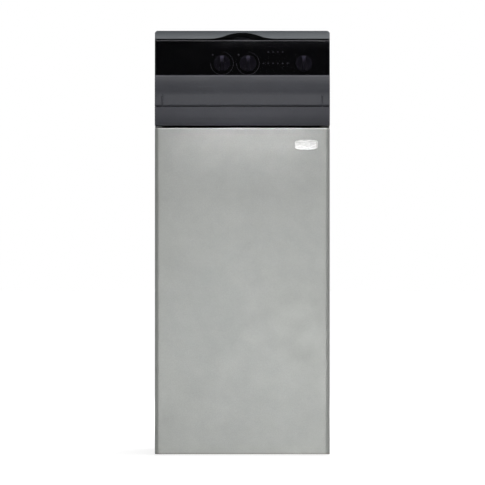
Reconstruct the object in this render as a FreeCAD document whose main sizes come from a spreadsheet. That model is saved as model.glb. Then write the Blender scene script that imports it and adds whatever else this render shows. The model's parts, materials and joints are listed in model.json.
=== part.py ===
"""Floor-standing gas boiler: cast-iron block over an atmospheric burner, in a slim steel casing.

Lengths are in millimetres. +Z is up, the front faces -Y, and the origin lies on the floor under the
middle of the whole boiler, the draught hood at the back included.
"""

import FreeCAD, Part
import math
import os
from types import SimpleNamespace

import Sketcher
from FreeCAD import Placement, Rotation, Vector

# Driving dimensions, each written once. They go into the sheet "dims" under these aliases.
SIZES = {
    # cast-iron block: sections stand one behind the other
    "section_thickness": 56,
    "section_gap": 2,
    "block_width": 250,
    "block_height": 330,
    "port_radius": 22,
    "port_inset": 60,
    "flue_way_first": 46,
    "flue_way_pitch": 37,
    "flue_way_width": 28,
    "flue_way_depth": 14,
    "water_way_wall": 5,
    "water_way_rim": 26,
    "nipple_wall": 4,
    "nipple_grip": 12,
    "tie_rod_radius": 5,
    "tie_rod_inset": 13,
    "tie_rod_end": 14,
    "tie_rod_nut_height": 8,
    "tie_rod_nut_radius": 9,
    # insulation round the block
    "jacket_thickness": 18,
    "jacket_room": 22,
    "jacket_bore": 36,
    # combustion chamber and burner
    "chamber_height": 284.5,
    "chamber_sheet": 2,
    "lining_thickness": 12,
    "burner_axis_height": 135,
    "burner_pitch": 40,
    "burner_radius": 10,
    "burner_wall": 1.2,
    "burner_rise": 40,
    "burner_mouth": 14,
    "burner_window_half": 103,
    "burner_window_below": 20,
    "burner_window_above": 64,
    "burner_plate_rim": 9,
    "burner_plate_sheet": 3,
    "air_inlet_half": 88,
    "air_inlet_sill": 15,
    "air_inlet_height": 58,
    "manifold_distance": 45,
    "manifold_width": 20,
    "manifold_half_length": 102,
    "manifold_leg": 8,
    "manifold_wall": 2,
    "injector_radius": 6,
    "injector_length": 10,
    "injector_nose_radius": 3,
    "injector_nose": 7,
    "electrode_side": 20,
    "electrode_rise": 53,
    "electrode_radius": 3.5,
    "electrode_length": 46,
    "electrode_tip_radius": 1,
    "electrode_tip": 22,
    "sight_side": 60,
    "sight_radius": 9,
    "sight_rim": 4,
    "sight_depth": 6,
    # gas train
    "valve_side": 50,
    "valve_width": 60,
    "valve_depth": 56,
    "valve_height": 50,
    "valve_drop": 26,
    "valve_branch_radius": 8,
    "valve_coil_radius": 12,
    "valve_coil_length": 26,
    "valve_coil_pitch": 28,
    "valve_stand_width": 18,
    "gas_pipe_radius": 9,
    "gas_pipe_wall": 1,
    "gas_pipe_bend": 26,
    "gas_thread_radius": 13.2,
    "gas_thread_length": 24,
    "gas_neck_radius": 12.2,
    "gas_nut_radius": 20,
    "gas_nut_height": 9,
    # water connections
    "water_thread_radius": 16.6,
    "water_thread_length": 28,
    "water_pipe_radius": 15,
    "water_bore_radius": 12.5,
    "thread_standoff": 4,
    "water_flange_radius": 32,
    "water_flange_height": 8,
    "plug_hex_height": 10,
    "sensor_radius": 4,
    "sensor_length": 9,
    "cock_radius": 12,
    "cock_reach": 66,
    "cock_spout_radius": 8,
    "cock_spout_length": 34,
    "lever_hub_radius": 9,
    "lever_hub_height": 9,
    "lever_length": 46,
    "lever_width": 9,
    "lever_thickness": 5,
    # flue
    "collector_width": 232,
    "collector_sheet": 1.5,
    "collector_front_height": 40,
    "collector_rear_height": 80,
    "collector_flat": 140,
    "collector_inset": 4,
    "draught_hood_depth": 141,
    "draught_hood_width": 244,
    "draught_hood_height": 150,
    "draught_hood_drop": 10,
    "draught_hood_sheet": 1.2,
    "baffle_depth": 84,
    "baffle_height": 34,
    "flue_bore_radius": 65.5,
    "flue_collar_wall": 1.2,
    "flue_collar_length": 60,
    "flue_collar_flange": 2.5,
    "flue_collar_flange_height": 1.5,
    "spill_switch_radius": 9,
    "spill_switch_height": 7,
    # casing
    "casing_sheet": 1,
    "casing_flange": 18,
    "side_room": 31,
    "service_depth": 100,
    "rear_room": 2,
    "foot_height": 4,
    "foot_radius": 16,
    "foot_stud_radius": 4,
    "foot_inset_side": 34,
    "foot_inset_end": 62,
    "tray_sheet": 1.5,
    "tray_height": 40,
    "louvre_width": 90,
    "louvre_height": 5,
    "louvre_pitch": 14,
    "louvre_level": 180,
    "screw_radius": 1.9,
    "screw_head_radius": 4.5,
    "screw_head_height": 2.4,
    "screw_length": 6,
    "screw_inset": 9,
    "gland_edge": 57,
    "gland_level": 96,
    "gland_radius": 7.5,
    "gland_bore_radius": 4.5,
    "gland_nut_radius": 13,
    "gland_nut_height": 6,
    "gland_length": 22,
    # front door
    "door_depth": 30,
    "door_back_gap": 6,
    "door_top_gap": 5,
    "door_floor_gap": 5,
    "door_hem": 2.4,
    "door_round": 9,
    "door_edge_round": 2,
    "door_pad_thickness": 14,
    "door_pad_margin": 12,
    "hinge_pin_radius": 2.5,
    "hinge_pin_side": 7,
    "hinge_pin_back": 5,
    "hinge_pin_reach": 8,
    "hinge_plate": 1.8,
    "hinge_plate_width": 12,
    "hinge_leg": 34,
    "hinge_lap": 24,
    "magnet_width": 12,
    "magnet_height": 44,
    "magnet_depth": 9,
    "magnet_end": 90,
    "strike_sheet": 1.5,
    "strike_gap": 0.5,
    "badge_width": 46,
    "badge_end_height": 15.4,
    "badge_bow": 2.6,
    "badge_thickness": 2.2,
    "badge_round": 3,
    "badge_edge": 47,
    "badge_drop": 33.8,
    # control hood
    "hood_rise": 40,
    "hood_bulge": 10,
    "hood_wall": 3,
    "strip_height": 37.4,
    "strip_top_setback": 0.8,
    "strip_foot_setback": 11.5,
    "strip_round": 110,
    "cheek_gap": 2,
    "hinge_ear_edge": 15,
    "hinge_ear_thickness": 2,
    "hinge_ear_slot": 2.8,
    "hinge_ear_front": 2.7,
    "hinge_ear_back": 10,
    "hinge_ear_sweep": 18,
    "hinge_ear_gap": 0.6,
    # flap over the controls
    "nose_radius": 3.5,
    "nose_gap": 1.2,
    "flap_depth": 24,
    "flap_wall": 3,
    "flap_lower_height": 62.2,
    "flap_bar": 7,
    "crease_height": 26.2,
    "crease_setback": 4.6,
    "bulge_round": 62,
    "ledge_setback": 6.5,
    "ledge_round": 3,
    "ledge_run": 2.9,
    "ledge_drop": 2.2,
    "flap_pin_radius": 1.6,
    "flap_pin_length": 18,
    "window_height": 70,
    "window_wall": 2.5,
    "window_foot_setback": 11,
    "window_head_setback": 15,
    "window_head_round": 2.2,
    "grip_half_width": 21,
    "grip_height": 6.5,
    "grip_thickness": 2,
    # lid
    "lid_gap": 3,
    "lid_height": 16.2,
    "lid_wall": 2.5,
    "lid_corner": 6,
    "lip_foot_setback": 18,
    "lip_head_setback": 26,
    "lip_hollow": 42,
    "scoop_half_width": 67,
    "scoop_height": 12.2,
    # controls
    "fascia_thickness": 3,
    "fascia_back_gap": 5,
    "fascia_top_gap": 5,
    "knob_level": 24.3,
    "knob_radius": 17,
    "knob_skirt": 5,
    "knob_height": 14.6,
    "knob_taper": 1.5,
    "knob_grip_width": 8.6,
    "knob_gap": 0.4,
    "knob_wall": 3.5,
    "heating_knob_x": -40.8,
    "hot_water_knob_x": 11.3,
    "mode_knob_edge": 51.6,
    "spindle_radius": 3,
    "lamp_radius": 1.6,
    "lamp_pitch": 9.6,
    "lamp_row_rise": 22.9,
    "lamp_first_x": 42.5,
    "board_gap": 27,
    "board_thickness": 1.6,
    "board_left": 92,
    "board_below": 36,
    "board_above": 38,
    "standoff_radius": 3,
    "standoff_inset": 7,
    "pot_width": 17,
    "pot_depth": 12,
    "pot_neck_radius": 4.5,
    "pot_neck": 8,
    "transformer_width": 46,
    "transformer_depth": 32,
    "transformer_height": 40,
    "transformer_edge": 51,
    "control_box_depth": 74,
    "control_box_wall": 2,
    "control_box_margin": 6,
    "control_box_clearance": 2,
    # clearances
    "fit_gap": 0.3,
    "running_gap": 0.06,
    "push_gap": 0.02,
}

SECTION_COUNT = 4
BURNER_COUNT = 5
FLUE_WAYS_EACH_SIDE = 2
LOUVRE_COUNT = 6
LAMPS_IN_TOP_ROW = 4
LAMPS_IN_LOWER_ROW = 6
OVERCUT = 1  # how far a cutting tool runs past the face that it cuts

LEFT, RIGHT = 1, -1


class Size:
    """A length: its value, and the sheet expression that gives it."""

    def __init__(self, value, text):
        self.value = float(value)
        self.text = text

    def __add__(self, other):
        other = as_size(other)
        return Size(self.value + other.value, f"({self.text} + {other.text})")

    def __sub__(self, other):
        other = as_size(other)
        return Size(self.value - other.value, f"({self.text} - {other.text})")

    def __mul__(self, other):
        other = as_size(other)
        return Size(self.value * other.value, f"({self.text} * {other.text})")

    def __truediv__(self, other):
        other = as_size(other)
        return Size(self.value / other.value, f"({self.text} / {other.text})")

    def __neg__(self):
        return Size(-self.value, f"(-{self.text})")

    def __radd__(self, other):
        return as_size(other) + self

    def __rsub__(self, other):
        return as_size(other) - self

    def __rmul__(self, other):
        return as_size(other) * self


def as_size(number):
    """A plain number as a Size, and a Size as it is."""
    return number if isinstance(number, Size) else Size(number, f"({float(number)!r})")


doc = FreeCAD.newDocument("floor_standing_boiler")
sheet = doc.addObject("Spreadsheet::Sheet", "dims")
for row, (alias, number) in enumerate(SIZES.items(), start=1):
    sheet.set(f"A{row}", alias)
    sheet.set(f"B{row}", str(number))
    sheet.setAlias(f"B{row}", alias)
doc.recompute()
size = SimpleNamespace(**{alias: Size(number, f"dims.{alias}") for alias, number in SIZES.items()})
nodes = []


def bind(thing, **lengths):
    """Binds properties of a document object to the sheet."""
    for name, length in lengths.items():
        thing.setExpression(name, as_size(length).text)


def put(thing, x, y, z, turn=None):
    """Binds where a document object stands, and turns it."""
    if turn is not None:
        thing.Placement = Placement(Vector(), turn)
    for axis, length in zip("xyz", (x, y, z)):
        thing.setExpression(f"Placement.Base.{axis}", as_size(length).text)
    return thing


def node(thing, name):
    """Marks a document object as a sub-part with this name."""
    thing.Label = name
    nodes.append(thing)
    return thing


def box(x, y, z):
    """A box between the two limits on each axis."""
    made = doc.addObject("Part::Box", "box")
    bind(made, Length=x[1] - x[0], Width=y[1] - y[0], Height=z[1] - z[0])
    return put(made, x[0], y[0], z[0])


ALONG = {
    "x": Rotation(Vector(0, 1, 0), 90),
    "y": Rotation(Vector(1, 0, 0), -90),
    "z": Rotation(),
}


def along(made, axis, centre, limits):
    """Stands a piece that was made along +Z on an axis, between two limits."""
    bind(made, Height=limits[1] - limits[0])
    place = {
        "x": (limits[0], centre[0], centre[1]),
        "y": (centre[0], limits[0], centre[1]),
        "z": (centre[0], centre[1], limits[0]),
    }[axis]
    return put(made, *place, turn=ALONG[axis])


def rod(axis, centre, limits, radius):
    """A cylinder along an axis. centre is its place on the other two axes, in x, y, z order."""
    made = doc.addObject("Part::Cylinder", "rod")
    bind(made, Radius=radius)
    return along(made, axis, centre, limits)


def taper(axis, centre, limits, first, last):
    """A cone along an axis, with its first and last radius."""
    made = doc.addObject("Part::Cone", "taper")
    bind(made, Radius1=first, Radius2=last)
    return along(made, axis, centre, limits)


def hexagon(axis, centre, limits, radius):
    """A hexagonal prism along an axis. radius reaches its corners."""
    made = doc.addObject("Part::Prism", "hexagon")
    made.Polygon = 6
    bind(made, Circumradius=radius)
    return along(made, axis, centre, limits)


def fuse(*things):
    made = doc.addObject("Part::MultiFuse", "fuse")
    made.Shapes = list(things)
    made.Refine = True
    return made


def common(first, second):
    made = doc.addObject("Part::MultiCommon", "common")
    made.Shapes = [first, second]
    return made


def group(*things):
    """Separate solids that share one node."""
    made = doc.addObject("Part::Compound", "group")
    made.Links = list(things)
    return made


def cut(base, *tools):
    made = doc.addObject("Part::Cut", "cut")
    made.Base = base
    made.Tool = tools[0] if len(tools) == 1 else fuse(*tools)
    return made


def tube(axis, centre, limits, outer, inner):
    """A round tube along an axis."""
    reach = (limits[0] - OVERCUT, limits[1] + OVERCUT)
    return cut(rod(axis, centre, limits, outer), rod(axis, centre, reach, inner))


def arc_middle(start, end, radius, turn):
    """The middle point of the short arc from start to end, which turns left or right."""
    chord = end - start
    half = chord.Length / 2
    sagitta = radius - math.sqrt(max(radius * radius - half * half, 0))
    left = Vector(-chord.y, chord.x, 0).normalize()
    return (start + end) * 0.5 - left * (turn * sagitta)


PLANE_ROLE = {"XY": "XY_Plane", "XZ": "XZ_Plane", "YZ": "YZ_Plane"}


def sketch(body, plane, offset, outline):
    """A closed outline in a plane of the body, moved along the plane's normal.

    A corner is (u, v), reached by a line, or (u, v, radius, turn), reached by an arc.
    """
    made = body.newObject("Sketcher::SketchObject", "outline")
    planes = {feature.Role: feature for feature in body.Origin.OriginFeatures}
    made.AttachmentSupport = [(planes[PLANE_ROLE[plane]], "")]
    made.MapMode = "FlatFace"
    made.setExpression("AttachmentOffset.Base.z", as_size(offset).text)
    corners = [[as_size(length) for length in corner[:3]] + list(corner[3:]) for corner in outline]
    points = [Vector(corner[0].value, corner[1].value, 0) for corner in corners]
    for start, end, corner in zip(points[-1:] + points[:-1], points, corners):
        if len(corner) == 2:
            made.addGeometry(Part.LineSegment(start, end), False)
        else:
            middle = arc_middle(start, end, corner[2].value, corner[3])
            ends = (start, end) if corner[3] == LEFT else (end, start)
            made.addGeometry(Part.Arc(ends[0], middle, ends[1]), False)

    def end_at(edge, point):
        near_start = (made.Geometry[edge].StartPoint - point).Length < 1e-6
        return 1 if near_start else 2

    for edge, (point, corner) in enumerate(zip(points, corners)):
        following = (edge + 1) % len(points)
        here = end_at(edge, point)
        meeting = (edge, here, following, end_at(following, point))
        made.addConstraint(Sketcher.Constraint("Coincident", *meeting))
        for kind, length in zip(("DistanceX", "DistanceY"), corner[:2]):
            row = made.addConstraint(Sketcher.Constraint(kind, -1, 1, edge, here, length.value))
            made.setExpression(f"Constraints[{row}]", length.text)
        if len(corner) > 2:
            row = made.addConstraint(Sketcher.Constraint("Radius", edge, corner[2].value))
            made.setExpression(f"Constraints[{row}]", corner[2].text)
    return made


def extrude(plane, outline, low, high):
    """A body with an outline padded from low to high along the plane's axis."""
    body = doc.addObject("PartDesign::Body", "body")
    start = -high if plane == "XZ" else low
    pad = body.newObject("PartDesign::Pad", "pad")
    pad.Profile = sketch(body, plane, start, outline)
    bind(pad, Length=high - low)
    body.Tip = pad
    doc.recompute()
    return body


def pocket(body, plane, outline, low, high):
    """Cuts an outline out of a body from low to high along the plane's axis."""
    start = -low if plane == "XZ" else high
    made = body.newObject("PartDesign::Pocket", "pocket")
    made.Profile = sketch(body, plane, start, outline)
    bind(made, Length=high - low)
    body.Tip = made
    doc.recompute()
    return body


def round_edges(body, radius, wanted):
    """Rounds those edges of a body's last feature that the test wants."""
    base = body.Tip
    names = [f"Edge{row}" for row, edge in enumerate(base.Shape.Edges, start=1) if wanted(edge)]
    made = body.newObject("PartDesign::Fillet", "rounding")
    made.Base = (base, names)
    bind(made, Radius=radius)
    body.Tip = made
    doc.recompute()
    return body


# Places that several pieces share, all worked out from the sizes.

block_depth = SECTION_COUNT * size.section_thickness + (SECTION_COUNT - 1) * size.section_gap
insulated_room = size.jacket_thickness + size.jacket_room
casing_depth = size.service_depth + block_depth + 2 * insulated_room + size.rear_room
front_depth = size.hood_bulge + size.door_depth + size.door_back_gap
total_depth = front_depth + casing_depth + size.casing_sheet + size.draught_hood_depth

front_y = -total_depth / 2
door_face_y = front_y + size.hood_bulge
door_back_y = door_face_y + size.door_depth
casing_front_y = door_back_y + size.door_back_gap
jacket_front_y = casing_front_y + size.service_depth
block_front_y = jacket_front_y + insulated_room
block_rear_y = block_front_y + block_depth
jacket_rear_y = block_rear_y + insulated_room
casing_rear_y = casing_front_y + casing_depth
back_face_y = casing_rear_y + size.casing_sheet
rear_y = back_face_y + size.draught_hood_depth

block_half = size.block_width / 2
jacket_half = block_half + size.fit_gap + size.jacket_thickness
panel_inner = jacket_half + size.side_room
half_width = panel_inner + size.casing_sheet - size.fit_gap

casing_foot_z = size.foot_height
tray_floor_z = casing_foot_z + size.tray_sheet
chamber_top_z = tray_floor_z + size.chamber_height
block_top_z = chamber_top_z + size.block_height
hood_foot_z = block_top_z + size.hood_rise
door_foot_z = size.door_floor_gap
door_top_z = hood_foot_z - size.door_top_gap
strip_top_z = hood_foot_z + size.strip_height
flap_foot_z = strip_top_z + size.nose_gap
window_foot_z = flap_foot_z + size.flap_lower_height
window_top_z = window_foot_z + size.window_height
lid_foot_z = window_top_z + size.lid_gap
lid_top_z = lid_foot_z + size.lid_height

flap_axis_y = front_y + size.nose_radius
flap_axis_z = flap_foot_z + size.nose_radius
flap_back_y = front_y + size.flap_depth
cheek_front_y = flap_back_y + size.cheek_gap
fascia_back_y = casing_front_y - size.fascia_back_gap
fascia_front_y = fascia_back_y - size.fascia_thickness
knob_z = window_foot_z + size.knob_level

burner_axis_z = tray_floor_z + size.burner_axis_height
upper_port_z = block_top_z - size.port_inset
lower_port_z = chamber_top_z + size.port_inset
manifold_y = block_front_y - size.manifold_distance
gas_pipe_x = half_width - size.casing_flange - size.gas_nut_radius - size.fit_gap
valve_top_z = burner_axis_z - size.manifold_width / 2 - size.valve_drop
valve_foot_z = valve_top_z - size.valve_height
gas_pipe_z = valve_foot_z + size.valve_height / 2
draught_hood_foot_z = block_top_z - size.draught_hood_drop
draught_hood_top_z = draught_hood_foot_z + size.draught_hood_height
flue_y = back_face_y + size.draught_hood_depth / 2
gland_x = -half_width + size.gland_edge
hinge_ear_x = half_width - size.hinge_ear_edge
hinge_x = -half_width + size.hinge_pin_side
hinge_y = door_back_y - size.hinge_pin_back


def both_sides(length):
    """The two limits at equal distances from the middle plane."""
    return (-length, length)


# Base and casing


def base_tray():
    half = panel_inner - size.fit_gap
    y = (casing_front_y + size.casing_sheet, casing_rear_y - size.casing_sheet)
    outer = box(both_sides(half), y, (casing_foot_z, casing_foot_z + size.tray_height))
    wall = size.tray_sheet
    room_y = (y[0] + wall, y[1] - wall)
    room_z = (tray_floor_z, casing_foot_z + size.tray_height + OVERCUT)
    room = box(both_sides(half - wall), room_y, room_z)
    reach = (casing_foot_z - OVERCUT, tray_floor_z + OVERCUT)
    studs = [rod("z", place, reach, size.foot_stud_radius + size.push_gap) for place in foot_places()]
    node(cut(outer, room, *studs), "base_tray")


def foot_places():
    x = panel_inner - size.foot_inset_side
    front = casing_front_y + size.foot_inset_end
    rear = casing_rear_y - size.foot_inset_end
    return [(-x, front), (x, front), (-x, rear), (x, rear)]


def foot_pads():
    pads = []
    for place in foot_places():
        pad = rod("z", place, (as_size(0), casing_foot_z), size.foot_radius)
        stud_top = tray_floor_z + 2 * size.tray_sheet
        stud = rod("z", place, (casing_foot_z - OVERCUT, stud_top), size.foot_stud_radius)
        pads.append(fuse(pad, stud))
    node(group(*pads), "foot_pads")


def screw_places():
    """Where the back panel is screwed to the side panels' rear flanges."""
    x = half_width - size.screw_inset
    low = casing_foot_z + size.tray_height + size.screw_inset
    high = lid_foot_z - 2 * size.screw_inset
    middle = (low + high) / 2
    return [(side * x, z) for side in (-1, 1) for z in (low, middle, high)]


def side_panel(side, name):
    """A folded sheet with a flange at the front and at the rear."""
    wall = size.casing_sheet
    outer = half_width
    inner = outer - wall
    tip = outer - size.casing_flange
    corners = [
        (outer, casing_front_y),
        (outer, casing_rear_y),
        (tip, casing_rear_y),
        (tip, casing_rear_y - wall),
        (inner, casing_rear_y - wall),
        (inner, casing_front_y + wall),
        (tip, casing_front_y + wall),
        (tip, casing_front_y),
    ]
    outline = [(side * u, v) for u, v in corners]
    panel = extrude("XY", outline, casing_foot_z, lid_foot_z)
    reach = (casing_rear_y - wall - OVERCUT, casing_rear_y + OVERCUT)
    holes = [
        rod("y", place, reach, size.screw_radius + size.push_gap)
        for place in screw_places()
        if place[0].value * side > 0
    ]
    node(cut(panel, *holes), name)


def back_panel():
    sheet_y = (casing_rear_y, back_face_y)
    panel = box(both_sides(half_width), sheet_y, (casing_foot_z, lid_foot_z))
    reach = (casing_rear_y - OVERCUT, back_face_y + OVERCUT)
    duct_half = size.collector_width / 2 + size.fit_gap
    duct_z = (block_top_z - size.fit_gap, block_top_z + size.collector_rear_height + size.fit_gap)
    tools = [box(both_sides(duct_half), reach, duct_z)]
    middle = as_size(0)
    for level in (upper_port_z, lower_port_z):
        tools.append(rod("y", (middle, level), reach, size.water_thread_radius + size.fit_gap))
    gas_hole = size.gas_thread_radius + size.fit_gap
    tools.append(rod("y", (gas_pipe_x, gas_pipe_z), reach, gas_hole))
    gland_hole = size.gland_radius + size.push_gap
    tools.append(rod("y", (gland_x, size.gland_level), reach, gland_hole))
    for place in screw_places():
        tools.append(rod("y", place, reach, size.screw_radius + size.push_gap))
    for row in range(LOUVRE_COUNT):
        low = size.louvre_level + row * size.louvre_pitch
        slot_z = (low, low + size.louvre_height)
        tools.append(box(both_sides(size.louvre_width / 2), reach, slot_z))
    node(cut(panel, *tools), "back_panel")


def panel_screws():
    made = []
    for place in screw_places():
        head_y = (back_face_y, back_face_y + size.screw_head_height)
        shank_y = (back_face_y - size.screw_length, back_face_y + OVERCUT)
        head = rod("y", place, head_y, size.screw_head_radius)
        made.append(fuse(head, rod("y", place, shank_y, size.screw_radius)))
    node(group(*made), "panel_screws")


def cable_gland():
    place = (gland_x, size.gland_level)
    inside = (casing_rear_y - size.gland_nut_height, casing_rear_y)
    outside = (back_face_y, back_face_y + size.gland_nut_height)
    barrel = (inside[0] - size.gland_nut_height / 2, back_face_y + size.gland_length)
    body = fuse(
        rod("y", place, barrel, size.gland_radius),
        hexagon("y", place, inside, size.gland_nut_radius),
        hexagon("y", place, outside, size.gland_nut_radius),
    )
    reach = (barrel[0] - OVERCUT, barrel[1] + OVERCUT)
    node(cut(body, rod("y", place, reach, size.gland_bore_radius)), "cable_gland")


# Lid


def lid_shell(wall, foot_z):
    """The lid's outside at wall 0, or the room inside it."""
    lip_foot_y = front_y + size.lip_foot_setback + wall
    lip_head_y = front_y + size.lip_head_setback + wall
    top_z = lid_top_z - wall
    corner = size.lid_corner - wall
    half = half_width - wall
    back_y = back_face_y - wall
    side_view = [
        (back_y, foot_z),
        (back_y, top_z),
        (lip_head_y, top_z),
        (lip_foot_y, lid_foot_z, size.lip_hollow, LEFT),
    ]
    if foot_z is not lid_foot_z:
        side_view.append((lip_foot_y, foot_z))
    front_view = [
        (-half, foot_z),
        (half, foot_z),
        (half, top_z - corner),
        (half - corner, top_z, corner, LEFT),
        (-half + corner, top_z),
        (-half, top_z - corner, corner, LEFT),
    ]
    across = extrude("YZ", side_view, -half, half)
    through = extrude("XZ", front_view, lip_foot_y, back_y)
    return common(across, through)


def top_lid():
    """A moulded lid with a finger scoop in its front lip."""
    half = size.scoop_half_width
    rise = size.scoop_height
    turn_x = half / 2
    turn_z = lid_foot_z + rise / 2
    flare = (half * half / 4 + rise * rise / 4) / rise
    scoop = [
        (-half, lid_foot_z - OVERCUT),
        (half, lid_foot_z - OVERCUT),
        (half, lid_foot_z),
        (turn_x, turn_z, flare, RIGHT),
        (-turn_x, turn_z, flare, LEFT),
        (-half, lid_foot_z, flare, RIGHT),
    ]
    lip_back_y = front_y + size.lip_head_setback + 2 * size.lid_wall
    opening = extrude("XZ", scoop, front_y, lip_back_y)
    room = lid_shell(size.lid_wall, lid_foot_z - OVERCUT)
    node(cut(lid_shell(as_size(0), lid_foot_z), room, opening), "top_lid")


# Control hood and its flap


def control_housing():
    """Moulded strip under the flap, with cheeks behind the flap's ends and ears for its hinge."""
    wall = size.hood_wall
    top_front = front_y + size.strip_top_setback
    foot_front = front_y + size.strip_foot_setback
    strip = extrude(
        "YZ",
        [
            (casing_front_y, hood_foot_z),
            (casing_front_y, hood_foot_z + wall),
            (foot_front + wall, hood_foot_z + wall),
            (top_front + wall, strip_top_z - wall, size.strip_round - wall, RIGHT),
            (casing_front_y, strip_top_z - wall),
            (casing_front_y, strip_top_z),
            (top_front, strip_top_z),
            (foot_front, hood_foot_z, size.strip_round, LEFT),
        ],
        -half_width,
        half_width,
    )
    end_y = (foot_front + 2 * wall, casing_front_y)
    cheek_y = (cheek_front_y, casing_front_y)
    ear_y = (flap_axis_y - size.hinge_ear_front, flap_axis_y + size.hinge_ear_back)
    ear_z = (strip_top_z - OVERCUT, flap_axis_z + size.hinge_ear_sweep)
    axis = (flap_axis_y, flap_axis_z)
    solids = [strip]
    holes = []
    for side in (-1, 1):
        outer = side * half_width
        inner = side * (half_width - wall)
        x = (outer, inner) if side < 0 else (inner, outer)
        solids.append(box(x, end_y, (hood_foot_z, strip_top_z)))
        solids.append(box(x, cheek_y, (strip_top_z - OVERCUT, lid_foot_z)))
        middle = side * hinge_ear_x
        half = size.hinge_ear_thickness / 2
        ear_x = (middle - half, middle + half)
        outline = rod("x", axis, ear_x, size.hinge_ear_sweep - size.hinge_ear_gap)
        solids.append(common(box(ear_x, ear_y, ear_z), outline))
        reach = (middle - half - OVERCUT, middle + half + OVERCUT)
        holes.append(rod("x", axis, reach, size.flap_pin_radius + size.running_gap))
    node(cut(fuse(*solids), *holes), "control_housing")


def flap_moulding():
    """Lower part of the flap: a rolled nose at the hinge, a flared band, a crease and a bulge."""
    radius = size.nose_radius
    crease_z = flap_foot_z + size.crease_height
    crease_y = front_y + size.crease_setback
    ledge_y = front_y + size.ledge_setback
    wall = size.flap_wall
    body = extrude(
        "YZ",
        [
            (flap_back_y, flap_foot_z),
            (flap_back_y, window_foot_z),
            (ledge_y + size.ledge_run, window_foot_z),
            (ledge_y, window_foot_z - size.ledge_drop, size.ledge_round, LEFT),
            (crease_y, crease_z, size.bulge_round, LEFT),
            (front_y, flap_axis_z),
            (flap_axis_y, flap_foot_z, radius, LEFT),
        ],
        -half_width,
        half_width,
    )
    bar_y = flap_axis_y + size.flap_bar
    bar_z = flap_axis_z + size.flap_bar
    room = [
        (flap_back_y + OVERCUT, flap_foot_z - OVERCUT),
        (flap_back_y + OVERCUT, window_foot_z - wall),
        (ledge_y + wall, window_foot_z - wall),
        (crease_y + wall, crease_z),
        (bar_y, bar_z),
        (bar_y, flap_foot_z - OVERCUT),
    ]
    pocket(body, "YZ", room, -(half_width - wall), half_width - wall)
    axis = (flap_axis_y, flap_axis_z)
    tools = []
    for side in (-1, 1):
        middle = side * hinge_ear_x
        half = size.hinge_ear_slot / 2
        tools.append(rod("x", axis, (middle - half, middle + half), size.hinge_ear_sweep))
        reach = size.flap_pin_length / 2
        bore = size.flap_pin_radius + size.push_gap
        tools.append(rod("x", axis, (middle - reach, middle + reach), bore))
    node(cut(body, *tools), "flap_moulding")


def flap_hinge_pins():
    axis = (flap_axis_y, flap_axis_z)
    reach = size.flap_pin_length / 2 - size.fit_gap
    pins = []
    for side in (-1, 1):
        middle = side * hinge_ear_x
        pins.append(rod("x", axis, (middle - reach, middle + reach), size.flap_pin_radius))
    node(group(*pins), "flap_hinge_pins")


def smoked_window():
    """Upper part of the flap: a dark see-through cover with a finger tab on its top edge."""
    wall = size.window_wall
    foot_y = front_y + size.window_foot_setback
    head_y = front_y + size.window_head_setback
    edge = size.window_head_round
    body = extrude(
        "YZ",
        [
            (flap_back_y, window_foot_z),
            (flap_back_y, window_top_z),
            (head_y + edge, window_top_z),
            (head_y, window_top_z - edge, edge, LEFT),
            (foot_y, window_foot_z),
        ],
        -half_width,
        half_width,
    )
    room = [
        (flap_back_y + OVERCUT, window_foot_z - OVERCUT),
        (flap_back_y + OVERCUT, window_top_z - wall),
        (head_y + wall, window_top_z - wall),
        (foot_y + wall, window_foot_z),
        (foot_y + wall, window_foot_z - OVERCUT),
    ]
    pocket(body, "YZ", room, -(half_width - wall), half_width - wall)
    half = size.grip_half_width
    rise = size.grip_height
    crown = (half * half + rise * rise) / (2 * rise)
    tab_foot_z = window_top_z - wall / 2
    tab = extrude(
        "XZ",
        [
            (-half, tab_foot_z),
            (half, tab_foot_z),
            (half, window_top_z),
            (-half, window_top_z, crown, LEFT),
        ],
        flap_back_y - size.grip_thickness,
        flap_back_y,
    )
    node(fuse(body, tab), "smoked_window")


# Door


def door_outline(wall, back_y):
    """The door seen from above, with its front corners rolled."""
    half = half_width - wall
    face_y = door_face_y + wall
    corner = size.door_round - wall
    return [
        (half, back_y),
        (-half, back_y),
        (-half, face_y + corner),
        (-half + corner, face_y, corner, LEFT),
        (half - corner, face_y),
        (half, face_y + corner, corner, LEFT),
    ]


def hem_outline():
    """The front sheet alone, seen from above, between the ends of the two rolled corners."""
    wall = size.casing_sheet
    corner = size.door_round
    inner_y = door_face_y + wall
    end_y = door_face_y + corner
    return [
        (-half_width, end_y),
        (-half_width + corner, door_face_y, corner, LEFT),
        (half_width - corner, door_face_y),
        (half_width, end_y, corner, LEFT),
        (half_width - wall, end_y),
        (half_width - corner, inner_y, corner - wall, RIGHT),
        (-half_width + corner, inner_y),
        (-half_width + wall, end_y, corner - wall, RIGHT),
    ]


def front_door():
    """A steel tray with its open side to the back, hung on two pins at its left.

    Its front sheet hangs lower than the tray, in front of the lower hinge plate.
    """
    wall = size.casing_sheet
    body = extrude("XY", door_outline(as_size(0), door_back_y), door_foot_z, door_top_z)

    def top_rim(edge):
        box_of = edge.BoundBox
        return box_of.ZMin > door_top_z.value - 1e-6 and box_of.YMin < door_back_y.value - 1e-6

    round_edges(body, size.door_edge_round, top_rim)
    room = door_outline(wall, door_back_y + OVERCUT)
    pocket(body, "XY", room, door_foot_z + wall, door_top_z - wall)
    bore = size.hinge_pin_radius + size.running_gap
    reach_foot = (door_foot_z - OVERCUT, door_foot_z + 2 * wall)
    reach_top = (door_top_z - 2 * wall, door_top_z + OVERCUT)
    holes = [rod("z", (hinge_x, hinge_y), reach, bore) for reach in (reach_foot, reach_top)]
    hem = extrude("XY", hem_outline(), door_foot_z - size.door_hem, door_foot_z)
    node(cut(fuse(body, hem), *holes), "front_door")


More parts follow.
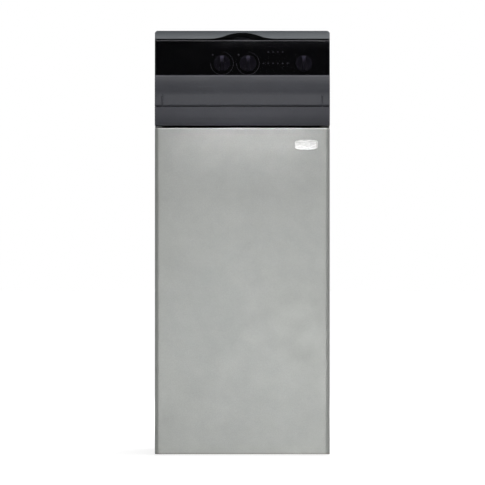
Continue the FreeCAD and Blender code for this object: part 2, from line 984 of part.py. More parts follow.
def door_insulation():
    margin = size.door_round + size.door_pad_margin
    inner_y = door_face_y + size.casing_sheet
    pad_y = (inner_y, inner_y + size.door_pad_thickness)
    pad_z = (door_foot_z + margin, door_top_z - margin)
    node(box(both_sides(half_width - margin), pad_y, pad_z), "door_insulation")


def badge_plate():
    """A blank plate on the door's upper right, bowed along its top and its foot."""
    corner = size.badge_round
    chord = size.badge_width - 2 * corner
    bow = (chord * chord / 4 + size.badge_bow * size.badge_bow) / (2 * size.badge_bow)
    middle = half_width - size.badge_edge
    left = middle - size.badge_width / 2
    right = middle + size.badge_width / 2
    top = door_top_z - size.badge_drop + size.badge_end_height / 2
    foot = door_top_z - size.badge_drop - size.badge_end_height / 2
    outline = [
        (left + corner, foot, corner, LEFT),
        (right - corner, foot, bow, LEFT),
        (right, foot + corner, corner, LEFT),
        (right, top - corner),
        (right - corner, top, corner, LEFT),
        (left + corner, top, bow, LEFT),
        (left, top - corner, corner, LEFT),
        (left, foot + corner),
    ]
    plate = extrude("XZ", outline, door_face_y - size.badge_thickness, door_face_y)
    node(plate, "badge_plate")


def hinge_limits():
    """Where the two hinge plates lie: one under the tray, one in the gap over the door."""
    half = size.hinge_plate_width / 2
    x = (hinge_x - half, hinge_x + half)
    lower_z = (casing_foot_z - size.hinge_plate, casing_foot_z)
    middle = door_top_z + size.door_top_gap / 2
    upper_z = (middle - size.hinge_plate / 2, middle + size.hinge_plate / 2)
    return x, lower_z, upper_z


def hinge_brackets():
    x, lower_z, upper_z = hinge_limits()
    tip_y = hinge_y - size.hinge_plate_width / 2
    lower = box(x, (tip_y, casing_front_y + size.hinge_lap), lower_z)
    tongue = box(x, (tip_y, casing_front_y), upper_z)
    leg_y = (casing_front_y - size.hinge_plate, casing_front_y)
    leg = box(x, leg_y, (upper_z[1] - size.hinge_leg, upper_z[1]))
    node(group(lower, fuse(tongue, leg)), "hinge_brackets")


def door_hinge_pins():
    _, lower_z, upper_z = hinge_limits()
    place = (hinge_x, hinge_y)
    lower = rod("z", place, (lower_z[1], door_foot_z + size.hinge_pin_reach), size.hinge_pin_radius)
    upper = rod("z", place, (door_top_z - size.hinge_pin_reach, upper_z[0]), size.hinge_pin_radius)
    node(group(lower, upper), "door_hinge_pins")


def catch_limits():
    """Where the two magnets stand on the right panel's front flange."""
    edge = half_width - size.casing_flange / 2
    x = (edge - size.magnet_width / 2, edge + size.magnet_width / 2)
    low = (door_foot_z + size.magnet_end, door_foot_z + size.magnet_end + size.magnet_height)
    high = (door_top_z - size.magnet_end - size.magnet_height, door_top_z - size.magnet_end)
    return x, low, high


def magnet_catches():
    x, low, high = catch_limits()
    y = (casing_front_y - size.magnet_depth, casing_front_y)
    node(group(box(x, y, low), box(x, y, high)), "magnet_catches")


def door_strikes():
    """Steel angles inside the door that the magnets hold."""
    x, low, high = catch_limits()
    face_y = casing_front_y - size.magnet_depth - size.strike_gap
    wall_x = half_width - size.casing_sheet
    sheet_y = (face_y - size.strike_sheet, face_y)
    strikes = [box((x[0], wall_x), sheet_y, z) for z in (low, high)]
    node(group(*strikes), "door_strikes")


# Controls


def control_fascia():
    half = half_width - size.hood_wall - size.fit_gap
    y = (fascia_front_y, fascia_back_y)
    plate = box(both_sides(half), y, (strip_top_z, lid_top_z - size.fascia_top_gap))
    reach = (fascia_front_y - OVERCUT, fascia_back_y + OVERCUT)
    bore = size.spindle_radius + size.fit_gap
    tools = [rod("y", (x, knob_z), reach, bore) for x in knob_places().values()]
    tools += [rod("y", place, reach, size.lamp_radius + size.push_gap) for place in lamp_places()]
    node(cut(plate, *tools), "control_fascia")


def knob_places():
    return {
        "heating_knob": size.heating_knob_x,
        "hot_water_knob": size.hot_water_knob_x,
        "mode_knob": half_width - size.mode_knob_edge,
    }


def lamp_places():
    lower = [(size.lamp_first_x + n * size.lamp_pitch, knob_z) for n in range(LAMPS_IN_LOWER_ROW)]
    level = knob_z + size.lamp_row_rise
    upper = [
        (size.lamp_first_x + (n + 1) * size.lamp_pitch, level) for n in range(LAMPS_IN_TOP_ROW)
    ]
    return lower + upper


def indicator_lamps():
    """Light pipes from the circuit board to the front of the fascia."""
    board_y = fascia_back_y + size.board_gap
    y = (fascia_front_y - size.fit_gap, board_y)
    node(group(*[rod("y", place, y, size.lamp_radius) for place in lamp_places()]), "indicator_lamps")


def knob(name, x):
    """A round knob with a grip bar across its face, pushed onto a spindle."""
    centre = (x, knob_z)
    back = fascia_front_y - size.knob_gap
    shoulder = back - size.knob_skirt
    front = back - size.knob_height
    hub = (shoulder + front) / 2
    half = size.knob_grip_width / 2
    skirt = rod("y", centre, (shoulder, back), size.knob_radius)
    dome = taper("y", centre, (hub, shoulder), size.knob_radius - 2 * size.knob_taper,
                 size.knob_radius - size.knob_taper)
    across = rod("y", centre, (front, shoulder), size.knob_radius - size.knob_taper)
    reach = size.knob_radius
    bar = box((x - half, x + half), (front, shoulder), (knob_z - reach, knob_z + reach))
    bore_y = (front + size.knob_wall, back + OVERCUT)
    bore = rod("y", centre, bore_y, size.spindle_radius + size.push_gap)
    node(cut(fuse(skirt, dome, common(bar, across)), bore), name)
    tip = front + size.knob_wall + size.fit_gap
    foot = fascia_back_y + size.board_gap - size.pot_depth - size.fit_gap
    node(rod("y", centre, (tip, foot), size.spindle_radius), name.replace("knob", "spindle"))


def potentiometers():
    made = []
    board_y = fascia_back_y + size.board_gap
    front = board_y - size.pot_depth
    half = size.pot_width / 2
    for x in knob_places().values():
        body = box((x - half, x + half), (front, board_y), (knob_z - half, knob_z + half))
        neck_y = (front - size.pot_neck, front)
        bore = size.spindle_radius + size.running_gap
        made.append(fuse(body, tube("y", (x, knob_z), neck_y, size.pot_neck_radius, bore)))
    node(group(*made), "potentiometers")


def board_limits():
    flange_tip = half_width - size.casing_flange
    box_side = size.control_box_margin + size.control_box_wall + size.control_box_clearance
    x = (-size.board_left, flange_tip - box_side)
    front = fascia_back_y + size.board_gap
    return x, (front, front + size.board_thickness), (knob_z - size.board_below, knob_z + size.board_above)


def circuit_board():
    x, y, z = board_limits()
    node(box(x, y, z), "circuit_board")
    inset = size.standoff_inset
    posts = [
        rod("y", (px, pz), (fascia_back_y, y[0]), size.standoff_radius)
        for px in (x[0] + inset, x[1] - inset)
        for pz in (z[0] + inset, z[1] - inset)
    ]
    node(group(*posts), "board_standoffs")
    half = size.transformer_width / 2
    block_z = (knob_z - size.transformer_height / 2, knob_z + size.transformer_height / 2)
    block_middle = x[1] - size.transformer_edge
    block_x = (block_middle - half, block_middle + half)
    node(box(block_x, (y[1], y[1] + size.transformer_depth), block_z), "transformer")


def control_box():
    """A cover behind the fascia, closed round the circuit board."""
    x, _, z = board_limits()
    margin = size.control_box_margin
    wall = size.control_box_wall
    y = (fascia_back_y, fascia_back_y + size.control_box_depth)
    room_x = (x[0] - margin, x[1] + margin)
    room_z = (z[0] - margin, z[1] + margin)
    outer = box((room_x[0] - wall, room_x[1] + wall), y, (room_z[0] - wall, room_z[1] + wall))
    room = box(room_x, (y[0] - OVERCUT, y[1] - wall), room_z)
    node(cut(outer, room), "control_box")


# Combustion chamber and burner


def chamber_box():
    """Steel box that carries the block, open at the top, with a burner window and an air inlet."""
    wall = size.chamber_sheet
    z = (tray_floor_z, chamber_top_z)
    outer = box(both_sides(block_half), (block_front_y, block_rear_y), z)
    room_y = (block_front_y + wall, block_rear_y - wall)
    room = box(both_sides(block_half - wall), room_y, (z[0] - OVERCUT, z[1] + OVERCUT))
    front_wall = (block_front_y - OVERCUT, block_front_y + 2 * wall)
    window_z = (burner_axis_z - size.burner_window_below, burner_axis_z + size.burner_window_above)
    window = box(both_sides(size.burner_window_half), front_wall, window_z)
    sill = tray_floor_z + size.air_inlet_sill
    inlet_z = (sill, sill + size.air_inlet_height)
    inlet = box(both_sides(size.air_inlet_half), front_wall, inlet_z)
    node(cut(outer, room, window, inlet), "chamber_box")


def chamber_lining():
    """Ceramic fibre boards round the flame."""
    wall = size.chamber_sheet
    thick = size.lining_thickness
    low = burner_axis_z + size.burner_window_above + size.burner_plate_rim
    half = block_half - wall
    y = (block_front_y + wall, block_rear_y - wall)
    outer = box(both_sides(half), y, (low, chamber_top_z))
    room_y = (y[0] + thick, y[1] - thick)
    room = box(both_sides(half - thick), room_y, (low - OVERCUT, chamber_top_z + OVERCUT))
    node(cut(outer, room), "chamber_lining")


def burner_places():
    first = -(BURNER_COUNT - 1) / 2
    return [(first + n) * size.burner_pitch for n in range(BURNER_COUNT)]


def burner_plate():
    rim = size.burner_plate_rim
    y = (block_front_y - size.burner_plate_sheet, block_front_y)
    z = (
        burner_axis_z - size.burner_window_below - rim,
        burner_axis_z + size.burner_window_above + rim,
    )
    plate = box(both_sides(size.burner_window_half + rim), y, z)
    reach = (y[0] - OVERCUT, y[1] + OVERCUT)
    bore = size.burner_radius + size.fit_gap
    tools = [rod("y", (x, burner_axis_z), reach, bore) for x in burner_places()]
    level = burner_axis_z + size.electrode_rise
    for side in (-1, 1):
        place = (side * size.electrode_side, level)
        tools.append(rod("y", place, reach, size.electrode_radius + size.push_gap))
    sight = (size.sight_side, level)
    tools.append(rod("y", sight, reach, size.sight_radius - size.sight_rim))
    rim_y = (y[0] - size.sight_depth, y[0])
    rim_radius = size.sight_radius + size.sight_rim
    frame = tube("y", sight, rim_y, rim_radius, size.sight_radius + size.push_gap)
    node(fuse(cut(plate, *tools), frame), "burner_plate")


def burner_tubes():
    made = []
    rear = block_rear_y - size.chamber_sheet
    front = block_front_y - size.burner_mouth
    radius = size.burner_radius
    for x in burner_places():
        blade_y = (block_front_y + 2 * size.chamber_sheet, rear)
        crest = burner_axis_z + size.burner_rise
        blade_z = (burner_axis_z - radius, crest)
        blade = box((x - radius, x + radius), blade_y, blade_z)
        ridge = rod("y", (x, crest), blade_y, radius)
        mouth_y = (front, blade_y[0] + OVERCUT)
        mouth = rod("y", (x, burner_axis_z), mouth_y, radius)
        bore = radius - size.burner_wall
        throat = rod("y", (x, burner_axis_z), (front - OVERCUT, blade_y[0] + radius), bore)
        room_y = (blade_y[0] + size.burner_wall, rear - size.burner_wall)
        room = box((x - bore, x + bore), room_y, (blade_z[0] + size.burner_wall, crest))
        vault = rod("y", (x, crest), room_y, bore)
        made.append(cut(fuse(blade, ridge, mouth), throat, room, vault))
    node(group(*made), "burner_tubes")


def gas_manifold():
    """Square tube across the burner mouths, with legs to the burner plate and a branch to the valve."""
    half = size.manifold_width / 2
    end = size.manifold_half_length
    z = (burner_axis_z - half, burner_axis_z + half)
    rail = box(both_sides(end), (manifold_y - half, manifold_y + half), z)
    leg_y = (manifold_y, block_front_y - size.burner_plate_sheet)
    legs = [
        box((-end, -end + size.manifold_leg), leg_y, z),
        box((end - size.manifold_leg, end), leg_y, z),
    ]
    place = (size.valve_side, manifold_y)
    branch = rod("z", place, (valve_top_z, burner_axis_z), size.valve_branch_radius)
    wall = size.manifold_wall
    bore_y = (manifold_y - half + wall, manifold_y + half - wall)
    bore = box(both_sides(end - wall), bore_y, (z[0] + wall, z[1] - wall))
    feed = rod("z", place, (valve_top_z - OVERCUT, burner_axis_z), size.valve_branch_radius - wall)
    node(cut(fuse(rail, branch, *legs), bore, feed), "gas_manifold")


def gas_injectors():
    made = []
    base = manifold_y + size.manifold_width / 2
    shoulder = base + size.injector_length
    for x in burner_places():
        centre = (x, burner_axis_z)
        hexes = hexagon("y", centre, (base, shoulder), size.injector_radius)
        nose_y = (shoulder - OVERCUT, shoulder + size.injector_nose)
        made.append(fuse(hexes, rod("y", centre, nose_y, size.injector_nose_radius)))
    node(group(*made), "gas_injectors")


def burner_electrodes():
    """The igniter and the flame probe: ceramic bodies with a wire tip each."""
    made = []
    level = burner_axis_z + size.electrode_rise
    front = block_front_y - size.burner_plate_sheet - size.electrode_length / 2
    shoulder = front + size.electrode_length
    for side in (-1, 1):
        place = (side * size.electrode_side, level)
        ceramic = rod("y", place, (front, shoulder), size.electrode_radius)
        tip_y = (shoulder - OVERCUT, shoulder + size.electrode_tip)
        made.append(fuse(ceramic, rod("y", place, tip_y, size.electrode_tip_radius)))
    node(group(*made), "burner_electrodes")


def sight_glass():
    place = (size.sight_side, burner_axis_z + size.electrode_rise)
    base = block_front_y - size.burner_plate_sheet
    pane_y = (base - size.sight_depth / 2, base)
    node(rod("y", place, pane_y, size.sight_radius), "sight_glass")


# Gas train


def gas_valve():
    x = (size.valve_side - size.valve_width / 2, size.valve_side + size.valve_width / 2)
    y = (manifold_y - size.valve_depth / 2, manifold_y + size.valve_depth / 2)
    body = box(x, y, (valve_foot_z, valve_top_z))
    half = size.valve_stand_width / 2
    stand_x = (size.valve_side - half, size.valve_side + half)
    stand_y = (manifold_y - half, manifold_y + half)
    stand = box(stand_x, stand_y, (tray_floor_z, valve_foot_z + OVERCUT))
    node(fuse(body, stand), "gas_valve")
    coil_y = (y[0] - size.valve_coil_length, y[0])
    coils = [
        rod("y", (size.valve_side + side * size.valve_coil_pitch / 2, gas_pipe_z), coil_y,
            size.valve_coil_radius)
        for side in (-1, 1)
    ]
    node(group(*coils), "valve_coils")


def gas_route(radius):
    """From the valve across to the right, round one bend and back to the gas connection."""
    bend = size.gas_pipe_bend
    valve_x = size.valve_side + size.valve_width / 2
    across = rod("x", (manifold_y, gas_pipe_z), (valve_x, gas_pipe_x - bend), radius)
    elbow = doc.addObject("Part::Torus", "elbow")
    bind(elbow, Radius1=bend, Radius2=radius)
    elbow.Angle3 = 90
    put(elbow, gas_pipe_x - bend, manifold_y + bend, gas_pipe_z, turn=Rotation(Vector(0, 0, 1), -90))
    pipe_end = casing_rear_y - size.fit_gap
    back = rod("y", (gas_pipe_x, gas_pipe_z), (manifold_y + bend, pipe_end), radius)
    return fuse(across, elbow, back)


def gas_pipe():
    bore = gas_route(size.gas_pipe_radius - size.gas_pipe_wall)
    node(cut(gas_route(size.gas_pipe_radius), bore), "gas_pipe")


def thread_limits(length):
    """Where a connection's thread lies behind the back panel."""
    start = back_face_y + size.thread_standoff
    return (start, start + length)


def gas_connection():
    """Threaded nipple through the back panel, with its nut inside."""
    place = (gas_pipe_x, gas_pipe_z)
    nut_y = (casing_rear_y - size.gas_nut_height, casing_rear_y)
    thread_y = thread_limits(size.gas_thread_length)
    body = fuse(
        hexagon("y", place, nut_y, size.gas_nut_radius),
        rod("y", place, (nut_y[0], thread_y[1]), size.gas_neck_radius),
        rod("y", place, thread_y, size.gas_thread_radius),
    )
    reach = (nut_y[0] - OVERCUT, thread_y[1] + OVERCUT)
    bore = size.gas_pipe_radius + size.push_gap
    node(cut(body, rod("y", place, reach, bore)), "gas_connection")


# Cast-iron block and its water connections


def section_limits(row):
    start = block_front_y + row * (size.section_thickness + size.section_gap)
    return (start, start + size.section_thickness)


def rod_places():
    x = block_half - size.tie_rod_inset
    low = chamber_top_z + size.tie_rod_inset
    high = block_top_z - size.tie_rod_inset
    return [(side * x, z) for side in (-1, 1) for z in (low, high)]


def cast_section(row):
    """One hollow casting, with upright flue ways in the faces that look at its neighbours."""
    y = section_limits(row)
    z = (chamber_top_z, block_top_z)
    casting = box(both_sides(block_half), y, z)
    reach = (y[0] - OVERCUT, y[1] + OVERCUT)
    middle = as_size(0)
    tools = [rod("y", (middle, level), reach, size.port_radius) for level in (upper_port_z, lower_port_z)]
    tools += [rod("y", place, reach, size.tie_rod_radius + size.fit_gap) for place in rod_places()]
    faces = []
    if row > 0:
        faces.append((reach[0], y[0] + size.flue_way_depth))
    if row < SECTION_COUNT - 1:
        faces.append((y[1] - size.flue_way_depth, reach[1]))
    way_z = (z[0] - OVERCUT, z[1] + OVERCUT)
    half = size.flue_way_width / 2
    for face in faces:
        for way in range(FLUE_WAYS_EACH_SIDE):
            x = size.flue_way_first + way * size.flue_way_pitch
            tools.append(box((x - half, x + half), face, way_z))
            tools.append(box((-x - half, -x + half), face, way_z))
    side = size.flue_way_depth + size.water_way_wall
    rim = size.water_way_rim
    water_z = (z[0] + rim, z[1] - rim)
    tools.append(box(both_sides(block_half - rim), (y[0] + side, y[1] - side), water_z))
    return cut(casting, *tools)


def cast_block():
    node(cast_section(0), "front_section")
    node(group(*[cast_section(row) for row in range(1, SECTION_COUNT - 1)]), "middle_sections")
    node(cast_section(SECTION_COUNT - 1), "rear_section")


def push_nipples():
    made = []
    outer = size.port_radius - size.push_gap
    for row in range(SECTION_COUNT - 1):
        end = section_limits(row)[1]
        y = (end - size.nipple_grip, end + size.section_gap + size.nipple_grip)
        for level in (upper_port_z, lower_port_z):
            made.append(tube("y", (as_size(0), level), y, outer, outer - size.nipple_wall))
    node(group(*made), "push_nipples")


def tie_rods():
    made = []
    reach = (block_front_y - size.tie_rod_end, block_rear_y + size.tie_rod_end)
    nut = size.tie_rod_nut_height
    bore = size.tie_rod_radius + size.push_gap
    for place in rod_places():
        made.append(rod("y", place, reach, size.tie_rod_radius))
        for nut_y in ((block_front_y - nut, block_front_y), (block_rear_y, block_rear_y + nut)):
            hole = rod("y", place, (nut_y[0] - OVERCUT, nut_y[1] + OVERCUT), bore)
            made.append(cut(hexagon("y", place, nut_y, size.tie_rod_nut_radius), hole))
    node(group(*made), "tie_rods")


def insulation_jacket():
    """Mineral wool round the four sides of the block."""
    inner_half = jacket_half - size.jacket_thickness
    z = (chamber_top_z, block_top_z)
    outer = box(both_sides(jacket_half), (jacket_front_y, jacket_rear_y), z)
    room_y = (jacket_front_y + size.jacket_thickness, jacket_rear_y - size.jacket_thickness)
    room = box(both_sides(inner_half), room_y, (z[0] - OVERCUT, z[1] + OVERCUT))
    reach = (jacket_front_y - OVERCUT, jacket_rear_y + OVERCUT)
    middle = as_size(0)
    holes = [
        rod("y", (middle, level), reach, size.jacket_bore / 2) for level in (upper_port_z, lower_port_z)
    ]
    node(cut(outer, room, *holes), "insulation_jacket")


def water_connection(level, name):
    """Flanged stub from a rear port out through the back panel."""
    place = (as_size(0), level)
    flange_y = (block_rear_y, block_rear_y + size.water_flange_height)
    thread_y = thread_limits(size.water_thread_length)
    body = fuse(
        rod("y", place, flange_y, size.water_flange_radius),
        rod("y", place, (flange_y[0], thread_y[1]), size.water_pipe_radius),
        rod("y", place, thread_y, size.water_thread_radius),
    )
    reach = (flange_y[0] - OVERCUT, thread_y[1] + OVERCUT)
    node(cut(body, rod("y", place, reach, size.water_bore_radius)), name)


def sensor_plug():
    """Hexagon plug with a temperature sensor in the upper front port."""
    place = (as_size(0), upper_port_z)
    flange_y = (block_front_y - size.water_flange_height, block_front_y)
    hex_y = (flange_y[0] - size.plug_hex_height, flange_y[0] + OVERCUT)
    plug = fuse(
        rod("y", place, flange_y, size.water_flange_radius),
        hexagon("y", place, hex_y, size.jacket_bore / 2 - size.fit_gap),
    )
    node(plug, "port_plug")
    sensor_y = (hex_y[0] - size.sensor_length, hex_y[0])
    node(rod("y", place, sensor_y, size.sensor_radius), "flow_sensor")


def drain_cock():
    """Cock in the lower front port, with a spout and a lever."""
    place = (as_size(0), lower_port_z)
    flange_y = (block_front_y - size.water_flange_height, block_front_y)
    front = block_front_y - size.cock_reach
    spout_y = front + size.cock_spout_radius
    spout_z = (lower_port_z - size.cock_spout_length, lower_port_z)
    body = fuse(
        rod("y", place, flange_y, size.water_flange_radius),
        rod("y", place, (front, flange_y[1]), size.cock_radius),
        rod("z", (as_size(0), spout_y), spout_z, size.cock_spout_radius),
    )
    node(body, "drain_cock")
    hub_y = (front - size.fit_gap - size.lever_hub_height, front - size.fit_gap)
    hub = rod("y", place, hub_y, size.lever_hub_radius)
    arm_y = (hub_y[0], hub_y[0] + size.lever_thickness)
    half = size.lever_width / 2
    arm = box((as_size(0), size.lever_length), arm_y, (lower_port_z - half, lower_port_z + half))
    node(fuse(hub, arm), "drain_lever")


# Flue


def flue_collector():
    """Sheet hood on the block, with a duct to the back."""
    wall = size.collector_sheet
    front = block_front_y + size.collector_inset
    rear = back_face_y
    low = block_top_z
    front_top = low + size.collector_front_height
    rear_top = low + size.collector_rear_height
    knee = rear - size.collector_flat
    half = size.collector_width / 2
    outline = [(front, low), (rear, low), (rear, rear_top), (knee, rear_top), (front, front_top)]
    body = extrude("YZ", outline, -half, half)
    sill = block_rear_y - size.collector_inset
    room = [
        (front + wall, low - OVERCUT),
        (sill, low - OVERCUT),
        (sill, low + wall),
        (rear + OVERCUT, low + wall),
        (rear + OVERCUT, rear_top - wall),
        (knee, rear_top - wall),
        (front + wall, front_top - wall),
    ]
    pocket(body, "YZ", room, -(half - wall), half - wall)
    node(body, "flue_collector")


def draught_hood():
    """Box behind the casing, open below to room air, with a baffle under the flue."""
    wall = size.draught_hood_sheet
    half = size.draught_hood_width / 2
    z = (draught_hood_foot_z, draught_hood_top_z)
    outer = box(both_sides(half), (back_face_y, rear_y), z)
    room_y = (back_face_y - OVERCUT, rear_y - wall)
    room = box(both_sides(half - wall), room_y, (z[0] - OVERCUT, z[1] - wall))
    hole_z = (z[1] - 2 * wall, z[1] + OVERCUT)
    hole_radius = size.flue_bore_radius + size.flue_collar_wall
    hole = rod("z", (as_size(0), flue_y), hole_z, hole_radius)
    baffle_z = z[0] + size.baffle_height
    baffle_y = (flue_y - size.baffle_depth / 2, flue_y + size.baffle_depth / 2)
    baffle = box(both_sides(half - wall / 2), baffle_y, (baffle_z, baffle_z + wall))
    node(fuse(cut(outer, room, hole), baffle), "draught_hood")


def flue_collar():
    """Round socket that takes the flue pipe."""
    place = (as_size(0), flue_y)
    outer = size.flue_bore_radius + size.flue_collar_wall
    base = draught_hood_top_z
    socket = rod("z", place, (base, base + size.flue_collar_length), outer)
    flange_z = (base, base + size.flue_collar_flange_height)
    flange = rod("z", place, flange_z, outer + size.flue_collar_flange)
    reach = (base - OVERCUT, base + size.flue_collar_length + OVERCUT)
    bore = rod("z", place, reach, size.flue_bore_radius)
    node(cut(fuse(socket, flange), bore), "flue_collar")


def spill_switch():
    """Thermostat on the draught hood's left side."""
    side = -size.draught_hood_width / 2
    place = (flue_y, (draught_hood_foot_z + draught_hood_top_z) / 2)
    node(rod("x", place, (side - size.spill_switch_height, side), size.spill_switch_radius), "spill_switch")


def build():
    base_tray()
    foot_pads()
    side_panel(-1, "left_side_panel")
    side_panel(1, "right_side_panel")
    back_panel()
    panel_screws()
    cable_gland()
    top_lid()
    control_housing()
    flap_moulding()
    flap_hinge_pins()
    smoked_window()
    front_door()
    door_insulation()
    badge_plate()
    hinge_brackets()
    door_hinge_pins()
    magnet_catches()
    door_strikes()
    control_fascia()
    indicator_lamps()
    for name, x in knob_places().items():
        knob(name, x)
    potentiometers()
    circuit_board()
    control_box()
    chamber_box()
    chamber_lining()
    burner_plate()
    burner_tubes()
    gas_manifold()
    gas_injectors()
    burner_electrodes()
    sight_glass()
    gas_valve()
    gas_pipe()
    gas_connection()
    cast_block()
    push_nipples()
    tie_rods()
    insulation_jacket()
    water_connection(upper_port_z, "flow_connection")
    water_connection(lower_port_z, "return_connection")
    sensor_plug()
    drain_cock()
    flue_collector()
    draught_hood()
    flue_collar()
    spill_switch()
    doc.recompute()


def check():
    """Stops before anything is written if an object failed or a sub-part's shape isn't sound."""
    for thing in doc.Objects:
        if "Invalid" in thing.State or "Error" in thing.State:
            raise RuntimeError(f"{thing.Name} ({thing.Label}) failed: {thing.State}")
    for part in nodes:
        shape = part.Shape
        if shape.isNull() or not shape.isValid() or not shape.Solids or shape.Volume <= 0:
            raise RuntimeError(f"{part.Label} has no sound shape")


def write():
    os.makedirs("parts", exist_ok=True)
    for part in nodes:
        part.Shape.exportStep(f"parts/{part.Label}.step")


build()
check()
write()
whole = Part.makeCompound([part.Shape for part in nodes]).BoundBox
print(f"{len(nodes)} sub-parts, {whole.XLength:.2f} x {whole.YLength:.2f} x {whole.ZLength:.2f} mm")
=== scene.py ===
"""Looks of the floor-standing gas boiler: finishes, small modelled pieces, light and camera."""

import json
from functools import reduce
from math import atan2, copysign, cos, exp, hypot, pi, radians, sin, sqrt, tau

import bmesh
import bpy
from mathutils import Matrix, Vector, noise


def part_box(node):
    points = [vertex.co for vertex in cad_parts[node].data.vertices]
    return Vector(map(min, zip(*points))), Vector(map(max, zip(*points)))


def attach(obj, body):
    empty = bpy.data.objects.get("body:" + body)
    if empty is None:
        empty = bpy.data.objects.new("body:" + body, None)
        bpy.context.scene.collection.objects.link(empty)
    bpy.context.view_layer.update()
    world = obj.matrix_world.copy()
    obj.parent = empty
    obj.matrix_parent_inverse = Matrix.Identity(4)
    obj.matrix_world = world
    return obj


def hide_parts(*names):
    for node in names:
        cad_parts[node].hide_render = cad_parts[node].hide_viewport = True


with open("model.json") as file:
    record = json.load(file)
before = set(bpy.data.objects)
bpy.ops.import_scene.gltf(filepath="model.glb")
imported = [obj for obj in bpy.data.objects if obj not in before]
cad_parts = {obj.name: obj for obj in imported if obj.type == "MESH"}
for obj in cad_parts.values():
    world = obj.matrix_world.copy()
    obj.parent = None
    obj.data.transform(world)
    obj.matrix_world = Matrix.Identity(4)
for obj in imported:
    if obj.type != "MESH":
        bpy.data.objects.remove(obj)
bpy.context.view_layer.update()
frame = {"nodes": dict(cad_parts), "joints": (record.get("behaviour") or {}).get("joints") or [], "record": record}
nodes = frame["nodes"]
joints = {joint["name"]: joint for joint in frame["joints"]}

MM = 0.001


# Finishes


def tone(*parts):
    """A screen colour, each of its three parts 0 to 255, as a linear colour."""
    shares = [part / 255 for part in parts]
    linear = [share / 12.92 if share <= 0.04045 else ((share + 0.055) / 1.055) ** 2.4 for share in shares]
    return (*linear, 1.0)


class Nodes:
    """A tree of shader nodes, and the places at which its patterns are read."""

    def __init__(self, tree, places="Object"):
        self.tree = tree
        self.place = self.add("TexCoord")[places]

    def fill(self, node, inputs):
        """Sets a node's inputs to values, or links them to outputs of other nodes."""
        for socket, value in inputs.items():
            if isinstance(value, bpy.types.NodeSocket):
                self.tree.links.new(value, node.inputs[socket])
            else:
                node.inputs[socket].default_value = value

    def add(self, kind, inputs=None, **settings):
        """A new node's outputs."""
        made = self.tree.nodes.new("ShaderNode" + kind)
        for setting, value in settings.items():
            setattr(made, setting, value)
        self.fill(made, inputs or {})
        return made.outputs

    def math(self, operation, one, other):
        return self.add("Math", {0: one, 1: other}, operation=operation)[0]

    def product(self, one, other):
        return self.math("MULTIPLY", one, other)

    def spread(self, pattern, low, high, limits=(0.3, 0.7)):
        """A pattern as values from low to high."""
        inputs = {"Value": pattern, "From Min": limits[0], "From Max": limits[1]}
        return self.add("MapRange", {**inputs, "To Min": low, "To Max": high})[0]

    def ramp(self, axis, start, end, low=0, high=1):
        """Values from low to high between two places along an axis, in metres."""
        along = self.add("SeparateXYZ", {0: self.place})[axis]
        return self.spread(along, low, high, (start, end))


# The materials by name: the slots of the record, and a few more.
FINISHES = {}


class Finish(Nodes):
    """A surface made of nodes. Grain sizes and depths are in millimetres, in the part's own frame."""

    def __init__(self, name, surface):
        FINISHES[name] = bpy.data.materials.new(name)
        FINISHES[name].use_nodes = True
        super().__init__(FINISHES[name].node_tree)
        self.shader = self.tree.nodes["Principled BSDF"]
        self.normal = None
        self.fill(self.shader, surface)

    def drawn_out(self, stretch):
        """Places along which a pattern is longer where stretch is small."""
        return self.add("VectorMath", {0: self.place, 1: stretch}, operation="MULTIPLY")[0]

    def noise(self, grain, detail=2, stretch=(1, 1, 1)):
        """Soft random levels. The more detail, the finer the grains that are added."""
        inputs = {"Vector": self.drawn_out(stretch), "Scale": 1 / (grain * MM), "Detail": detail}
        return self.add("TexNoise", inputs)[0]

    def voronoi(self, grain, feature="F1", stretch=(1, 1, 1)):
        inputs = {"Vector": self.drawn_out(stretch), "Scale": 1 / (grain * MM)}
        return self.add("TexVoronoi", inputs, feature=feature)

    def cells(self, grain):
        """Cells of that size, each with a level of its own."""
        return self.add("SeparateColor", {"Color": self.voronoi(grain)["Color"]})[0]

    def pebbles(self, grain):
        return self.voronoi(grain, feature="SMOOTH_F1")["Distance"]

    def seams(self, grain, stretch=(1, 1, 1)):
        """Distance to the lines between cells of that size."""
        return self.voronoi(grain, feature="DISTANCE_TO_EDGE", stretch=stretch)["Distance"]

    def mixed(self, mask, one, other):
        """One colour where the mask is 0 and the other where it is 1."""
        return self.add("Mix", {0: mask, 6: one, 7: other}, data_type="RGBA")[2]

    def colour(self, base, *shades):
        """The base colour, made darker and lighter by each pattern and its amount."""
        levels = [self.spread(pattern, 1 - amount, 1 + amount) for pattern, amount in shades]
        level = reduce(self.product, levels)
        if not isinstance(base, bpy.types.NodeSocket):
            base = base[:3]
        shaded = self.add("VectorMath", {0: base, "Scale": level}, operation="SCALE")[0]
        self.fill(self.shader, {"Base Color": shaded})

    def roughness(self, pattern, low, high):
        self.fill(self.shader, {"Roughness": self.spread(pattern, low, high)})

    def bump(self, pattern, depth):
        """Relief, on top of what was there before."""
        inputs = {"Height": pattern, "Distance": depth * MM}
        if self.normal is not None:
            inputs["Normal"] = self.normal
        self.normal = self.add("Bump", inputs)["Normal"]
        self.fill(self.shader, {"Normal": self.normal})


# Painted shade along the foot of the painted panels.
FOOT_SHADE = tone(146, 145, 139)


